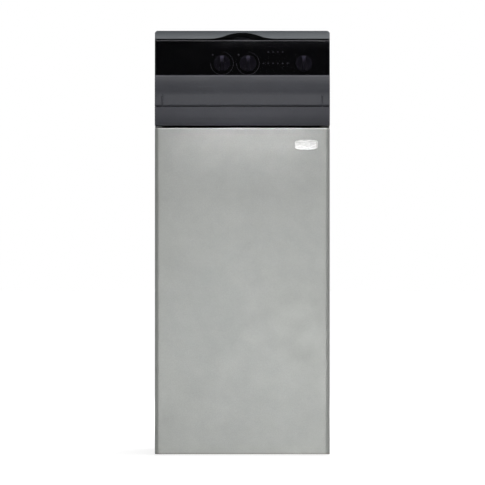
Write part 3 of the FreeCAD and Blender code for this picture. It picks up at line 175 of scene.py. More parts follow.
def silver_paint(name, base, painted_light, node):
    """Satin metallic paint: fine flakes, drifts of tone, a painted highlight along the top rim and painted shade
    along the foot.
    """
    low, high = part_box(node)
    made = Finish(name, {"Metallic": 0.5, "Specular IOR Level": 0.45})
    flakes = made.cells(0.7)
    drift = made.noise(220, 1)
    clouds = made.noise(50)
    # Painted highlight: the panel turns to the paler tone over its top 2.4 mm.
    highlight_rim = made.ramp("Z", high.z - 2.4 * MM, high.z - 1.2 * MM)
    # Painted shade: the panel turns to the darker tone over its lowest 4 mm.
    shaded_foot = made.ramp("Z", low.z + 1.5 * MM, low.z + 4 * MM, 1, 0)
    highlighted_base = made.mixed(highlight_rim, base, painted_light)
    shades = [(flakes, 0.05), (drift, 0.025), (clouds, 0.025), (made.noise(22, 1), 0.02)]
    made.colour(made.mixed(shaded_foot, highlighted_base, FOOT_SHADE), *shades)
    made.roughness(made.noise(30), 0.42, 0.5)
    made.bump(made.noise(2.4, 1), 0.012)


def mould_grain(made, base, grain, rough, relief):
    """The fine grain that a mould leaves on plastic, its size and relief in millimetres."""
    clouds = made.noise(40, 3)
    made.colour(base, (made.noise(grain), 0.08), (clouds, 0.05))
    made.roughness(clouds, rough - 0.05, rough + 0.06)
    made.bump(made.pebbles(grain), relief)


def grained_plastic(name, base, grain, rough, relief, specular=0.4, metallic=0.0):
    """Moulded plastic or a fine casting of one tone."""
    made = Finish(name, {"Specular IOR Level": specular, "Metallic": metallic})
    mould_grain(made, base, grain, rough, relief)


def lid_plastic():
    """Moulded plastic, with painted light that makes it paler towards the lid's lower edge."""
    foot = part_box("top_lid")[0].z
    made = Finish("lid_plastic", {"Specular IOR Level": 0.4})
    # Painted light: the lid's lip turns paler, in patches, over its lowest 14 mm.
    painted_light = made.ramp("Z", foot, foot + 14 * MM, 1, 0)
    patches = made.spread(made.noise(30), 0.7, 1.0)
    base = made.mixed(made.product(painted_light, patches), tone(69, 73, 77), tone(85, 89, 93))
    mould_grain(made, base, 0.9, 0.5, 0.05)


def hood_plastic():
    """Moulded plastic, with painted light: paler along the ledge below the window and towards the strip's top."""
    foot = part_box("smoked_window")[0]
    strip_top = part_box("flap_moulding")[0].z
    made = Finish("hood_plastic", {"Specular IOR Level": 0.2})
    # Painted highlight along the front of the ledge below the window, in patches.
    near_top = made.ramp("Z", foot.z - 3.8 * MM, foot.z - 2.6 * MM)
    at_front = made.ramp("Y", foot.y + 4 * MM, foot.y + 6 * MM, 1, 0)
    patches = made.spread(made.noise(24), 0.6, 1.0)
    ledge_highlight = made.product(made.product(near_top, at_front), patches)
    # Painted light that rises towards the strip's top and fades out just below the flap.
    rise = made.ramp("Z", strip_top - 34 * MM, strip_top - 14 * MM, 0, 0.4)
    below_flap = made.ramp("Z", strip_top - 1.0 * MM, strip_top - 0.2 * MM, 1, 0)
    painted_light = made.math("ADD", ledge_highlight, made.product(rise, below_flap))
    base = made.mixed(painted_light, tone(60, 61, 66), tone(80, 80, 86))
    mould_grain(made, base, 0.9, 0.48, 0.05)


WINDOW_TOP_GAP = 3 * MM


def smoked_plastic():
    """Dark see-through sheet, polished, with a faint film, a painted reflection on its upper part and a matt cut
    top edge painted pale as a highlight.
    """
    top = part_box("top_lid")[0].z - WINDOW_TOP_GAP
    made = Finish("smoked_plastic", {"Alpha": 0.5, "Specular IOR Level": 0.4, "IOR": 1.49})
    film = made.noise(60, 4, stretch=(1, 1, 2.5))
    # Painted reflection: the upper part of the window turns paler, more so to the right.
    upper = made.ramp("Z", top - 18 * MM, top - 2 * MM)
    reflection_side = made.ramp("X", -110 * MM, -40 * MM)
    painted_reflection = made.mixed(made.product(upper, reflection_side), tone(6, 6, 8), tone(25, 25, 28))
    # The cut top edge: matt, and painted pale as a highlight.
    below_top = made.ramp("Z", top - 1.8 * MM, top - 1.2 * MM)
    below_tab = made.ramp("Z", top + 0.1 * MM, top + 0.3 * MM, 1, 0)
    cut = made.product(below_top, below_tab)
    made.colour(made.mixed(cut, painted_reflection, tone(98, 97, 102)), (film, 0.3))
    rough = made.math("ADD", made.spread(film, 0.05, 0.11), made.product(cut, 0.45))
    made.fill(made.shader, {"Roughness": rough})
    made.bump(made.noise(9, 1), 0.004)


def galvanised():
    """Zinc-coated sheet with its spangles."""
    made = Finish("zinc_sheet", {"Metallic": 1.0})
    spangle = made.cells(8)
    fine = made.cells(3)
    made.colour(tone(184, 188, 191), (spangle, 0.08), (fine, 0.05), (made.noise(150), 0.05))
    made.roughness(spangle, 0.38, 0.48)
    made.bump(made.pebbles(8), 0.012)


def drawn_metal(name, base, rough, tarnish=0.1):
    """Metal with fine marks along one axis and a little tarnish."""
    made = Finish(name, {"Metallic": 1.0})
    marks = made.noise(1.2, 4, stretch=(1, 0.06, 1))
    clouds = made.noise(18, 3)
    made.colour(base, (marks, 0.08), (clouds, tarnish))
    made.roughness(marks, rough - 0.08, rough + 0.1)
    made.bump(marks, 0.02)


def cast_iron():
    """Raw sand casting: coarse skin, dark, with a breath of rust."""
    made = Finish("cast_iron", {"Metallic": 0.35, "Specular IOR Level": 0.35})
    skin = made.noise(3.2, 5)
    rust = made.spread(made.noise(55, 5), 0, 0.55, (0.5, 0.75))
    made.colour(made.mixed(rust, tone(62, 61, 60), tone(98, 66, 46)), (skin, 0.25))
    made.roughness(skin, 0.58, 0.78)
    made.bump(skin, 0.35)


def burner_steel():
    """Stainless tube, blued and straw-tinted towards its hot top edge."""
    low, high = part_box("burner_tubes")
    made = Finish("burner_steel", {"Metallic": 1.0})
    marks = made.noise(1.4, 3, stretch=(1, 0.05, 1))
    heat = made.ramp("Z", low.z, high.z)
    stain = made.spread(made.noise(14, 3), 0.55, 1.0)
    straw = made.mixed(made.product(heat, stain), tone(184, 182, 178), tone(160, 118, 72))
    blue = made.ramp("Z", high.z - 8 * MM, high.z, 0, 0.75)
    made.colour(made.mixed(blue, straw, tone(74, 82, 120)), (marks, 0.1))
    made.roughness(marks, 0.26, 0.42)
    made.bump(marks, 0.015)


def aluminised():
    """Dull hot-dipped flue sheet with flow marks and faint heat stains."""
    made = Finish("flue_steel", {"Metallic": 1.0})
    flow = made.noise(30, 5, stretch=(1, 1, 0.3))
    stain = made.spread(made.noise(110, 3), 0, 0.45, (0.5, 0.75))
    made.colour(made.mixed(stain, tone(178, 181, 184), tone(150, 140, 122)), (flow, 0.1))
    made.roughness(flow, 0.36, 0.5)
    made.bump(made.noise(1.5, 3), 0.02)


def copper():
    """Drawn tube with brown oxide on it."""
    made = Finish("copper", {"Metallic": 1.0})
    oxide = made.spread(made.noise(16, 4), 0, 0.75, (0.45, 0.7))
    marks = made.noise(1.6, 3, stretch=(0.3, 0.3, 1))
    made.colour(made.mixed(oxide, tone(196, 120, 84), tone(112, 66, 46)), (marks, 0.08))
    made.roughness(marks, 0.24, 0.4)
    made.bump(marks, 0.015)


def laminate():
    """Green circuit laminate with paler copper runs under the lacquer."""
    made = Finish("board_laminate", {"Coat Weight": 0.4, "Coat Roughness": 0.2})
    runs = made.seams(5, stretch=(1, 1, 2.2))
    track = made.spread(runs, 1, 0, (0.06, 0.1))
    made.colour(made.mixed(track, tone(18, 74, 42), tone(56, 128, 76)), (made.noise(1), 0.06))
    made.roughness(made.noise(6), 0.35, 0.5)
    made.bump(track, 0.05)


def iron_core():
    """A stack of varnished iron sheets, seen edge-on."""
    made = Finish("iron_core", {"Metallic": 0.6})
    sheets = made.add("TexWave", {"Vector": made.place, "Scale": 1 / (3 * MM), "Distortion": 0.4})[1]
    made.colour(tone(92, 86, 78), (sheets, 0.35), (made.noise(9), 0.1))
    made.roughness(sheets, 0.35, 0.55)
    made.bump(sheets, 0.12)


def mineral_wool():
    """Felted yellow fibres in loose tufts."""
    made = Finish("mineral_wool", {"Roughness": 0.95, "Specular IOR Level": 0.1, "Sheen Weight": 0.3})
    fibres = made.noise(1.1, 6, stretch=(0.35, 0.35, 1))
    tufts = made.noise(12, 4)
    made.colour(tone(196, 166, 88), (fibres, 0.28), (tufts, 0.14))
    made.bump(fibres, 0.5)
    made.bump(tufts, 1.2)


def crinkled_foil():
    """Aluminium foil that faces the insulation, creased where it is pressed."""
    made = Finish("foil_facing", {"Metallic": 1.0})
    creases = made.seams(17)
    waves = made.noise(11, 1)
    made.colour(tone(206, 208, 210), (made.cells(17), 0.06), (made.noise(90), 0.05))
    made.roughness(waves, 0.3, 0.42)
    made.bump(creases, 0.3)
    made.bump(waves, 0.2)


def fibre_board():
    """Pressed ceramic fibre, off-white and slightly scorched."""
    made = Finish("fibre_board", {"Roughness": 0.95, "Specular IOR Level": 0.12, "Sheen Weight": 0.15})
    fibres = made.noise(1.3, 5)
    scorch = made.spread(made.noise(60, 3), 0, 0.6, (0.5, 0.78))
    made.colour(made.mixed(scorch, tone(226, 221, 208), tone(168, 146, 116)), (fibres, 0.1))
    made.bump(fibres, 0.35)


def glazed_ceramic():
    made = Finish("ceramic", {"Coat Weight": 0.7, "Coat Roughness": 0.08})
    made.colour(tone(228, 224, 212), (made.noise(3, 3), 0.05), (made.noise(0.4), 0.03))
    made.roughness(made.noise(5), 0.2, 0.34)
    made.bump(made.noise(4), 0.03)


def sight_pane():
    """Heat-proof glass with a trace of soot."""
    made = Finish("sight_pane", {"Transmission Weight": 0.9, "IOR": 1.47})
    soot = made.noise(7, 4)
    made.colour(tone(214, 222, 220), (soot, 0.12))
    made.roughness(soot, 0.03, 0.16)


def rubber():
    made = Finish("foot_rubber", {"Specular IOR Level": 0.25, "Sheen Weight": 0.1})
    made.colour(tone(30, 30, 31), (made.noise(1, 3), 0.15), (made.noise(20), 0.1))
    made.roughness(made.noise(8), 0.7, 0.85)
    made.bump(made.noise(0.8), 0.06)


def clear_lamp():
    """The end of a light pipe, slightly milky."""
    made = Finish("lamp_plastic", {"Transmission Weight": 0.25, "IOR": 1.49, "Coat Weight": 0.3})
    haze = made.noise(1.2)
    made.colour(tone(176, 172, 190), (haze, 0.08))
    made.roughness(haze, 0.18, 0.3)


def bright_badge():
    """Pale bright plate with a silky face."""
    made = Finish("badge", {"Metallic": 0.25, "Coat Weight": 0.35, "Coat Roughness": 0.1})
    silk = made.noise(0.8, 3, stretch=(0.08, 1, 1))
    made.colour(tone(214, 215, 214), (silk, 0.03), (made.noise(9), 0.02))
    made.roughness(silk, 0.22, 0.34)
    made.bump(silk, 0.01)


def print_ink(name, base):
    """Ink printed on the fascia."""
    made = Finish(name, {"Specular IOR Level": 0.3})
    made.colour(base, (made.noise(0.5), 0.08), (made.noise(12), 0.06))
    made.roughness(made.noise(2), 0.5, 0.62)


def pointer_paint_and_highlight():
    """Pale paint along a knob's pointer, with a painted highlight that brightens it towards the grip's end."""
    middle = joints["heating_turn"]["pos_m"][2]
    made = Finish("pointer_paint_and_highlight", {"Specular IOR Level": 0.3})
    # Painted highlight: the paint brightens from the knob's middle towards the grip's end.
    painted_highlight = made.ramp("Z", middle + 0.5 * MM, middle + 12 * MM)
    made.colour(made.mixed(painted_highlight, tone(86, 81, 98), tone(206, 197, 236)), (made.noise(0.6), 0.08))
    made.roughness(made.noise(2), 0.4, 0.55)


# Moulded pieces: tone, grain, roughness and relief, and where they differ specular level and metallic share.
PLASTICS = {
    "fascia_plastic": (tone(12, 12, 14), 0.6, 0.5, 0.02, 0.2),
    "knob_plastic": (tone(82, 76, 97), 0.5, 0.3, 0.02, 0.5),
    "box_plastic": (tone(38, 38, 40), 0.8, 0.55, 0.04),
    "coil_plastic": (tone(30, 30, 32), 0.7, 0.45, 0.03),
    "lever_plastic": (tone(34, 34, 36), 0.7, 0.4, 0.03),
    "magnet": (tone(52, 50, 48), 0.6, 0.6, 0.03),
    "valve_casting": (tone(176, 178, 180), 1.4, 0.42, 0.06, 0.4, 0.85),
}
# Drawn metals: tone, roughness, and where it differs the tarnish.
METALS = {
    "terminal_metal": (tone(190, 190, 188), 0.3),
    "steel": (tone(182, 184, 186), 0.34),
    "blacked_steel": (tone(58, 58, 60), 0.5),
    "brass": (tone(198, 164, 92), 0.28, 0.14),
}
# Finishes that are one of a kind.
SINGLE_FINISHES = [
    galvanised, lid_plastic, hood_plastic, smoked_plastic, clear_lamp, laminate, iron_core, cast_iron,
    burner_steel, aluminised, copper, mineral_wool, crinkled_foil, fibre_board, glazed_ceramic, sight_pane,
    rubber, bright_badge, pointer_paint_and_highlight,
]


def make_finishes():
    """Every finish, each of which enters itself in the table."""
    # The second tone of each paint is the painted highlight along its top rim.
    silver_paint("door_paint", tone(166, 168, 165), tone(200, 202, 199), "front_door")
    silver_paint("casing_paint", tone(168, 170, 167), tone(180, 182, 179), "left_side_panel")
    print_ink("print_ink", tone(186, 182, 196))
    print_ink("faint_ink", tone(74, 72, 80))
    for name, look in PLASTICS.items():
        grained_plastic(name, *look)
    for name, look in METALS.items():
        drawn_metal(name, *look)
    for finish in SINGLE_FINISHES:
        finish()


def dress_nodes():
    """Each solid takes the finish of its slot in the record, and the flap's hinge pins are blacked."""
    for subpart in frame["record"]["subparts"]:
        materials = nodes[subpart["node"]].data.materials
        materials.clear()
        materials.append(FINISHES[subpart["material_slot"]])
    nodes["flap_hinge_pins"].data.materials[0] = FINISHES["blacked_steel"]


# Edges of the hard pieces

# Radius of the rounded edges, in millimetres.
EDGE_ROUND = 0.35
EDGE_ROUNDS = {
    "front_door": 0.3,
    "flap_moulding": 0.7,
    "control_housing": 0.7,
    "top_lid": 0.6,
    "smoked_window": 0.4,
    "back_panel": 0.1,
    "front_section": 1.6,
    "middle_sections": 1.6,
    "rear_section": 1.6,
    "gas_valve": 1.4,
}
SHARP_EDGE = radians(32)

# Points nearer to each other than this are one point.
JOIN_DISTANCE = 0.002 * MM


def join_facets(made):
    weld = made.modifiers.new("join_facets", "WELD")
    weld.merge_threshold = JOIN_DISTANCE


def soften(node):
    """Joins a solid's facets and rounds its sharp edges."""
    join_facets(node)
    bevel = node.modifiers.new("edge_round", "BEVEL")
    bevel.width = EDGE_ROUNDS.get(node.name, EDGE_ROUND) * MM
    bevel.segments = 2
    bevel.limit_method = "ANGLE"
    bevel.angle_limit = SHARP_EDGE
    shading = node.modifiers.new("even_shading", "WEIGHTED_NORMAL")
    shading.keep_sharp = False


# Meshes of the modelled pieces


class Form:
    """Points and faces of one mesh, gathered bit by bit."""

    def __init__(self):
        self.points = []
        self.faces = []

    def add(self, points, faces, place=Matrix()):
        first = len(self.points)
        self.points += [place @ Vector(point) for point in points]
        self.faces += [[first + corner for corner in face] for face in faces]

    def skin(self, rings, place=Matrix(), closed=False):
        """A skin over rings of points, with flat ends unless the last ring joins the first."""
        count = len(rings[0])
        points = [point for ring in rings for point in ring]
        faces = []
        for row in range(len(rings) if closed else len(rings) - 1):
            low = row * count
            high = (row + 1) % len(rings) * count
            for step in range(count):
                after = (step + 1) % count
                faces.append((low + step, low + after, high + after, high + step))
        if not closed:
            last = (len(rings) - 1) * count
            faces.append(range(count))
            faces.append(range(last, last + count))
        self.add(points, faces, place)

    def turned(self, stations, place=Matrix(), segments=36, closed=False):
        """A turned shape along Z. A station is a height and a radius in mm, which may depend on the angle."""
        rings = []
        for height, radius in stations:
            ring = []
            for step in range(segments):
                angle = tau * step / segments
                reach = (radius(angle) if callable(radius) else radius) * MM
                ring.append((reach * cos(angle), reach * sin(angle), height * MM))
            rings.append(ring)
        self.skin(rings, place, closed)

    def layered(self, layers, place=Matrix()):
        """A plate whose outline changes with its height. A layer is a height and an outline."""
        self.skin([[(x, y, height) for x, y in outline] for height, outline in layers], place)

    def block(self, low, high, edge=0.4 * MM):
        """A box with its edges taken off."""
        middle = [(one + other) / 2 for one, other in zip(low, high)]
        half = [(other - one) / 2 for one, other in zip(low, high)]

        def outline(inset):
            wide = half[0] - inset
            deep = half[1] - inset
            corners = [(wide - edge, -deep), (wide, edge - deep), (wide, deep - edge), (wide - edge, deep)]
            corners += [(-x, -y) for x, y in corners]
            return [(middle[0] + x, middle[1] + y) for x, y in corners]

        heights = [(low[2], edge), (low[2] + edge, 0), (high[2] - edge, 0), (high[2], edge)]
        self.layered([(height, outline(inset)) for height, inset in heights])

    def mesh(self, name):
        """The finished mesh, with every face turned outwards."""
        made = bpy.data.meshes.new(name)
        made.from_pydata(self.points, [], self.faces)
        shape = bmesh.new()
        shape.from_mesh(made)
        bmesh.ops.recalc_face_normals(shape, faces=shape.faces)
        shape.to_mesh(made)
        shape.free()
        return made


def facing(place, direction):
    """Brings a form's Z axis to a direction, at a place given in metres."""
    turn = Vector(direction).to_track_quat("Z", "Y")
    return Matrix.Translation(place) @ turn.to_matrix().to_4x4()


def new_object(name, data):
    """An object of the scene that holds a mesh, a lamp or a camera."""
    made = bpy.data.objects.new(name, data)
    bpy.context.scene.collection.objects.link(made)
    return made


def place_piece(mesh, slot, body="cabinet", finishes=(), replaced=(), crease=38):
    """Puts a mesh in the scene as a piece that moves with a body."""
    made = new_object(mesh.name, mesh)
    mesh.materials.clear()
    for name in finishes or (slot,):
        mesh.materials.append(FINISHES[name])
    mesh.shade_smooth()
    mesh.set_sharp_from_angle(angle=radians(crease))
    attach(made, body)
    if replaced:
        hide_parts(*replaced)
    return made


def finished(made):
    """An object's mesh with its modifiers worked in. The object itself goes."""
    bpy.context.view_layer.update()
    graph = bpy.context.evaluated_depsgraph_get()
    mesh = bpy.data.meshes.new_from_object(made.evaluated_get(graph))
    bpy.data.objects.remove(made)
    return mesh


def carved(form, tool):
    """A form with another one cut out of it."""
    body = new_object("carved", form.mesh("carved"))
    cutter = new_object("carving_tool", tool.mesh("carving_tool"))
    cut = body.modifiers.new("cut", "BOOLEAN")
    cut.object = cutter
    cut.operation = "DIFFERENCE"
    mesh = finished(body)
    bpy.data.objects.remove(cutter)
    made = Form()
    made.add([tuple(vertex.co) for vertex in mesh.vertices], [tuple(face.vertices) for face in mesh.polygons])
    return made


def islands(node):
    """The middles of the separate pieces in one solid."""
    shape = bmesh.new()
    shape.from_mesh(nodes[node].data)
    bmesh.ops.remove_doubles(shape, verts=shape.verts, dist=JOIN_DISTANCE)
    waiting = set(shape.verts)
    middles = []
    while waiting:
        group = [waiting.pop()]
        for vertex in group:
            for edge in vertex.link_edges:
                other = edge.other_vert(vertex)
                if other in waiting:
                    waiting.remove(other)
                    group.append(other)
        spans = [[vertex.co[axis] for vertex in group] for axis in range(3)]
        middles.append(Vector([(min(span) + max(span)) / 2 for span in spans]))
    shape.free()
    return sorted(middles, key=tuple)


def hexagonal(corner, chamfer=1.0):
    """The radius of a hexagon by angle. A chamfer below 1 takes its corners off."""
    flat = corner * cos(tau / 12)
    most = flat + (corner - flat) * chamfer
    return lambda angle: min(flat / cos(angle % (tau / 6) - tau / 12), most)


def hex_stations(start, end, corner):
    """A hexagon nut with its corners turned down at both ends."""
    inside = hexagonal(corner, 0.1)
    return [(start, inside), (start + 0.8, hexagonal(corner)), (end - 0.8, hexagonal(corner)), (end, inside)]


def ribbed(radius, depth, count):
    """The radius of a ring of ribs by angle."""
    return lambda angle: radius - depth * (1 + cos(count * angle))


BACK, FRONT = (0, 1, 0), (0, -1, 0)
LEFT, RIGHT = (-1, 0, 0), (1, 0, 0)
UP, DOWN = (0, 0, 1), (0, 0, -1)


def on_axis(joint, y, direction=FRONT):
    """A place on a joint's axis, at a depth."""
    axis = joints[joint]["pos_m"]
    return facing((axis[0], y, axis[2]), direction)


# Screws and rivets

# Each copy of a fastener is turned on by this angle, so that the slots don't line up.
FASTENER_TURN = 37


def cross_screw(radius=4.5, height=2.4, length=6.0):
    """Pan-head screw with a cross recess, standing on its surface."""
    shank = 1.9
    made = Form()
    made.turned([
        (-length, shank * 0.7), (-length + 1, shank), (0, shank), (0, radius - 0.15), (0.25, radius),
        (height * 0.45, radius * 0.97), (height * 0.75, radius * 0.86), (height * 0.93, radius * 0.66),
        (height, radius * 0.36),
    ])
    arm = radius * 0.58 * MM
    slot = radius * 0.13 * MM
    foot = height * 0.35 * MM
    for wide, deep in ((arm, slot), (slot, arm)):
        tool = Form()
        tool.block((-wide, -deep, foot), (wide, deep, 2 * height * MM), edge=0.05 * MM)
        made = carved(made, tool)
    return made


def fasten(name, fastener, places, body="cabinet", replaced=()):
    """Steel copies of one fastener at places, each with the direction it faces and its own turn."""
    made = Form()
    for count, (place, direction) in enumerate(places):
        turn = Matrix.Rotation(radians(FASTENER_TURN * count), 4, "Z")
        made.add(fastener.points, fastener.faces, facing(place, direction) @ turn)
    place_piece(made.mesh(name), "steel", body, replaced=replaced)


def casing_screws():
    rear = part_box("back_panel")[1].y
    spots = [((middle.x, rear, middle.z), BACK) for middle in islands("panel_screws")]
    fasten("casing_screws", cross_screw(), spots, replaced=["panel_screws"])


def burner_screws():
    """Screws round the burner plate."""
    low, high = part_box("burner_plate")
    thickness = 3 * MM
    inset = 5 * MM
    spots = []
    for x in (low.x + inset, 0, high.x - inset):
        for z in (low.z + inset, high.z - inset):
            spots.append(((x, high.y - thickness, z), FRONT))
    fasten("burner_screws", cross_screw(radius=3.6, height=2.0, length=2.0), spots)


# Controls

# A knob's grip in millimetres: half its length and waist, what its ends are wider by, and their rounding.
GRIP_HALF = 15.6
GRIP_WAIST = 3.5
GRIP_FLARE = 1.9
GRIP_END = 2.2
GRIP_STEPS = 24

KNOB_RIBS = 60
KNOB_RIB_DEPTH = 0.22


def grip_outline(inset):
    """A waisted bar, wider towards its ends, which follow the knob's round edge."""
    reach = GRIP_HALF - inset
    points = []
    for step in range(GRIP_STEPS + 1):
        along = -cos(pi * step / GRIP_STEPS) * reach
        wide = GRIP_WAIST + GRIP_FLARE * (along / GRIP_HALF) ** 2 - inset
        end = (reach - abs(along)) / GRIP_END
        if end < 1:
            wide *= sqrt(1 - (1 - end) ** 2) * 0.55 + 0.45
        points.append((wide * MM, along * MM))
    return points + [(-x, y) for x, y in reversed(points)]


def turning_knob(control):
    """Knob with a finely ribbed skirt, a dished face and a grip with a sunk pointer."""
    node = control + "_knob"
    body = control + "_control"
    spot = on_axis(control + "_turn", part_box(node)[1].y)
    skirt = [(0.4, 16.9), (3.9, 16.9), (4.6, 16.6)]
    stations = [(0, 12.0), (0, 16.4)]
    stations += [(height, ribbed(radius, KNOB_RIB_DEPTH, KNOB_RIBS)) for height, radius in skirt]
    stations += [(5.0, 16.0), (5.15, 15.2), (4.4, 13.0), (3.0, 9.0), (2.0, 5.0)]
    made = Form()
    made.turned(stations, spot, segments=KNOB_RIBS * 4)
    layers = [
        (1.5, -0.5), (4.8, 0.0), (6.0, 0.35), (12.4, 0.9), (13.6, 1.15), (14.3, 1.6), (14.5, 2.0),
        (14.4, 2.25), (13.5, 2.45), (13.1, 2.7),
    ]
    made.layered([(height * MM, grip_outline(inset)) for height, inset in layers], spot)
    place_piece(made.mesh(node + "_moulding"), "knob_plastic", body, replaced=[node])
    painted_pointer(node + "_pointer", body, spot)


def painted_pointer(name, body, spot):
    """Paint round the upper end of a knob's grip and in the hollow between; it also stands in for the highlights
    on the grip's edges.
    """
    low, high = 13.6 * MM, 14.7 * MM
    rings = []
    for row, (x, y) in enumerate(grip_outline(1.0)):
        if y > 0:
            inset = 1.5 + 1.3 * y / (GRIP_HALF * MM)
            inner_x, inner_y = grip_outline(inset)[row]
            rings.append([(x, y, low), (inner_x, inner_y, low), (inner_x, inner_y, high), (x, y, high)])
    made = Form()
    made.skin(rings, spot)
    hollow = [(x, y) for x, y in grip_outline(2.5) if y > 0]
    made.layered([(12.9 * MM, hollow), (13.3 * MM, hollow)], spot)
    place_piece(made.mesh(name), "knob_plastic", body, finishes=["pointer_paint_and_highlight"])


# Printed marks in millimetres: the radii of the scales, the width of their lines, and the ink's height.
MARK_RING = 22.8
MODE_RING = 24.2
MARK_WIDTH = 0.9
MARK_RISE = 0.15


def printed_arc(form, spot, start, end):
    """A printed line that follows a circle and grows wider along it, angles in degrees."""
    rings = []
    steps = int(abs(end - start) / 4)
    for step in range(steps + 1):
        share = step / steps
        angle = radians(start + (end - start) * share)
        half = MARK_WIDTH / 2 * min(1, 0.4 + 1.2 * share)
        ring = []
        for reach, height in ((-half, 0), (half, 0), (half, MARK_RISE), (-half, MARK_RISE)):
            out = (MARK_RING + reach) * MM
            ring.append((out * cos(angle), out * sin(angle), height * MM))
        rings.append(ring)
    form.skin(rings, spot)


def printed_dot(form, spot, x, z, radius, stretch=1.0):
    made = Form()
    made.turned([(0, radius), (MARK_RISE, radius * 0.94)], segments=20)
    flat = Matrix.Diagonal((stretch, 1, 1, 1))
    form.add(made.points, made.faces, spot @ Matrix.Translation((x * MM, z * MM, 0)) @ flat)


def fascia_marks():
    """Scales round the knobs and dashes by the lamps, printed on the fascia."""
    made = Form()
    faint = Form()
    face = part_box("control_fascia")[0].y
    for joint in ("heating_turn", "hot_water_turn"):
        spot = on_axis(joint, face)
        printed_arc(made, spot, 90, -180)
        printed_dot(made, spot, -18.6, 17.2, 1.7)
    spot = on_axis("mode_turn", face)
    for angle in (radians(45), radians(90), radians(135)):
        printed_dot(faint, spot, MODE_RING * cos(angle), MODE_RING * sin(angle), 1.3)
    for lamp in islands("indicator_lamps"):
        spot = facing((lamp.x, face, lamp.z), FRONT)
        printed_dot(faint, spot, 0, -11.6, 0.3, stretch=4.0)
    place_piece(made.mesh("fascia_marks"), "fascia_plastic", finishes=["print_ink"])
    place_piece(faint.mesh("fascia_faint_marks"), "fascia_plastic", finishes=["faint_ink"])


# Badge


def badge_outline(node_low, node_high, inset):
    """A plate with upright ends, and a bowed top and foot."""
    half = (node_high.x - node_low.x) / 2 - inset
    bow = 2.6 * MM
    end = (node_high.z - node_low.z) / 2 - bow - inset
    corner = max(3 * MM - inset, 0.4 * MM)
    points = []
    steps = 40
    for step in range(steps + 1):
        x = half * cos(pi * step / steps)
        drop = 0
        if abs(x) > half - corner:
            drop = corner - sqrt(max(corner ** 2 - (abs(x) - half + corner) ** 2, 0))
        points.append((x, end + bow * (1 - (x / half) ** 2) - drop))
    return points + [(-x, -y) for x, y in points]


def blank_badge():
    """Raised plate with a rounded rim and a crowned blank field."""
    low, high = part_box("badge_plate")
    middle = (low + high) / 2
    spot = facing((middle.x, high.y, middle.z), FRONT)
    layers = [
        (0, 0), (1.2, 0), (1.8, 0.2), (2.1, 0.6), (2.2, 1.0), (2.1, 1.4), (1.75, 1.7), (1.6, 2.0),
        (1.65, 3.2), (1.75, 4.6), (1.8, 6.0), (1.82, 7.0),
    ]
    made = Form()
    made.layered([(height * MM, badge_outline(low, high, inset * MM)) for height, inset in layers], spot)
    place_piece(made.mesh("blank_badge"), "badge", "door", replaced=["badge_plate"])


# Insulation


def eased(value):
    """0 to 1, with soft ends."""
    share = min(max(value, 0), 1)
    return share * share * (3 - 2 * share)


def ripple(place, grain):
    """A soft random level from 0 to 1 that changes over a grain."""
    return 0.5 + 0.5 * noise.noise(place / grain)


# The door's pad: its points across and up, its soft edge, how full it is as a share of its space, its pins,
# and the dents and folds round each pin.
PAD_COLUMNS = 110
PAD_ROWS = 216
PAD_EDGE = 24 * MM
PAD_RIM, PAD_CROWN = 0.3, 0.66
PAD_LEAST, PAD_MOST = 0.12, 0.985
PAD_PINS = [(x, z) for z in (-0.24, -0.12, 0, 0.12, 0.24) for x in (-0.1, 0, 0.1)]
PIN_REACH = 70 * MM
PIN_PRESS = 0.5
DENT_WIDTH = 17 * MM
FOLDS = 7
FOLD_DEPTH = 0.035
FOLD_RING = 26 * MM
FOLD_WIDTH = 12 * MM


def pad_level(x, z, half_x, half_z):
    """How full the pad is at a point of its face, from 0 to 1."""
    edge = min(half_x - abs(x), half_z - abs(z))
    level = PAD_RIM + PAD_CROWN * sqrt(eased(edge / PAD_EDGE))
    for pin_x, pin_z in PAD_PINS:
        away = hypot(x - pin_x, z - pin_z)
        if away < PIN_REACH:
            turn = atan2(z - pin_z, x - pin_x)
            fold = exp(-((away - FOLD_RING) / FOLD_WIDTH) ** 2)
            level *= 1 - PIN_PRESS * exp(-(away / DENT_WIDTH) ** 2)
            level -= FOLD_DEPTH * cos(FOLDS * turn + pin_x * 90) * fold
    spot = Vector((x, z, 0.37))
    level -= 0.05 * ripple(spot, 21 * MM) + 0.03 * ripple(spot, 8 * MM)
    return min(max(level, PAD_LEAST), PAD_MOST)


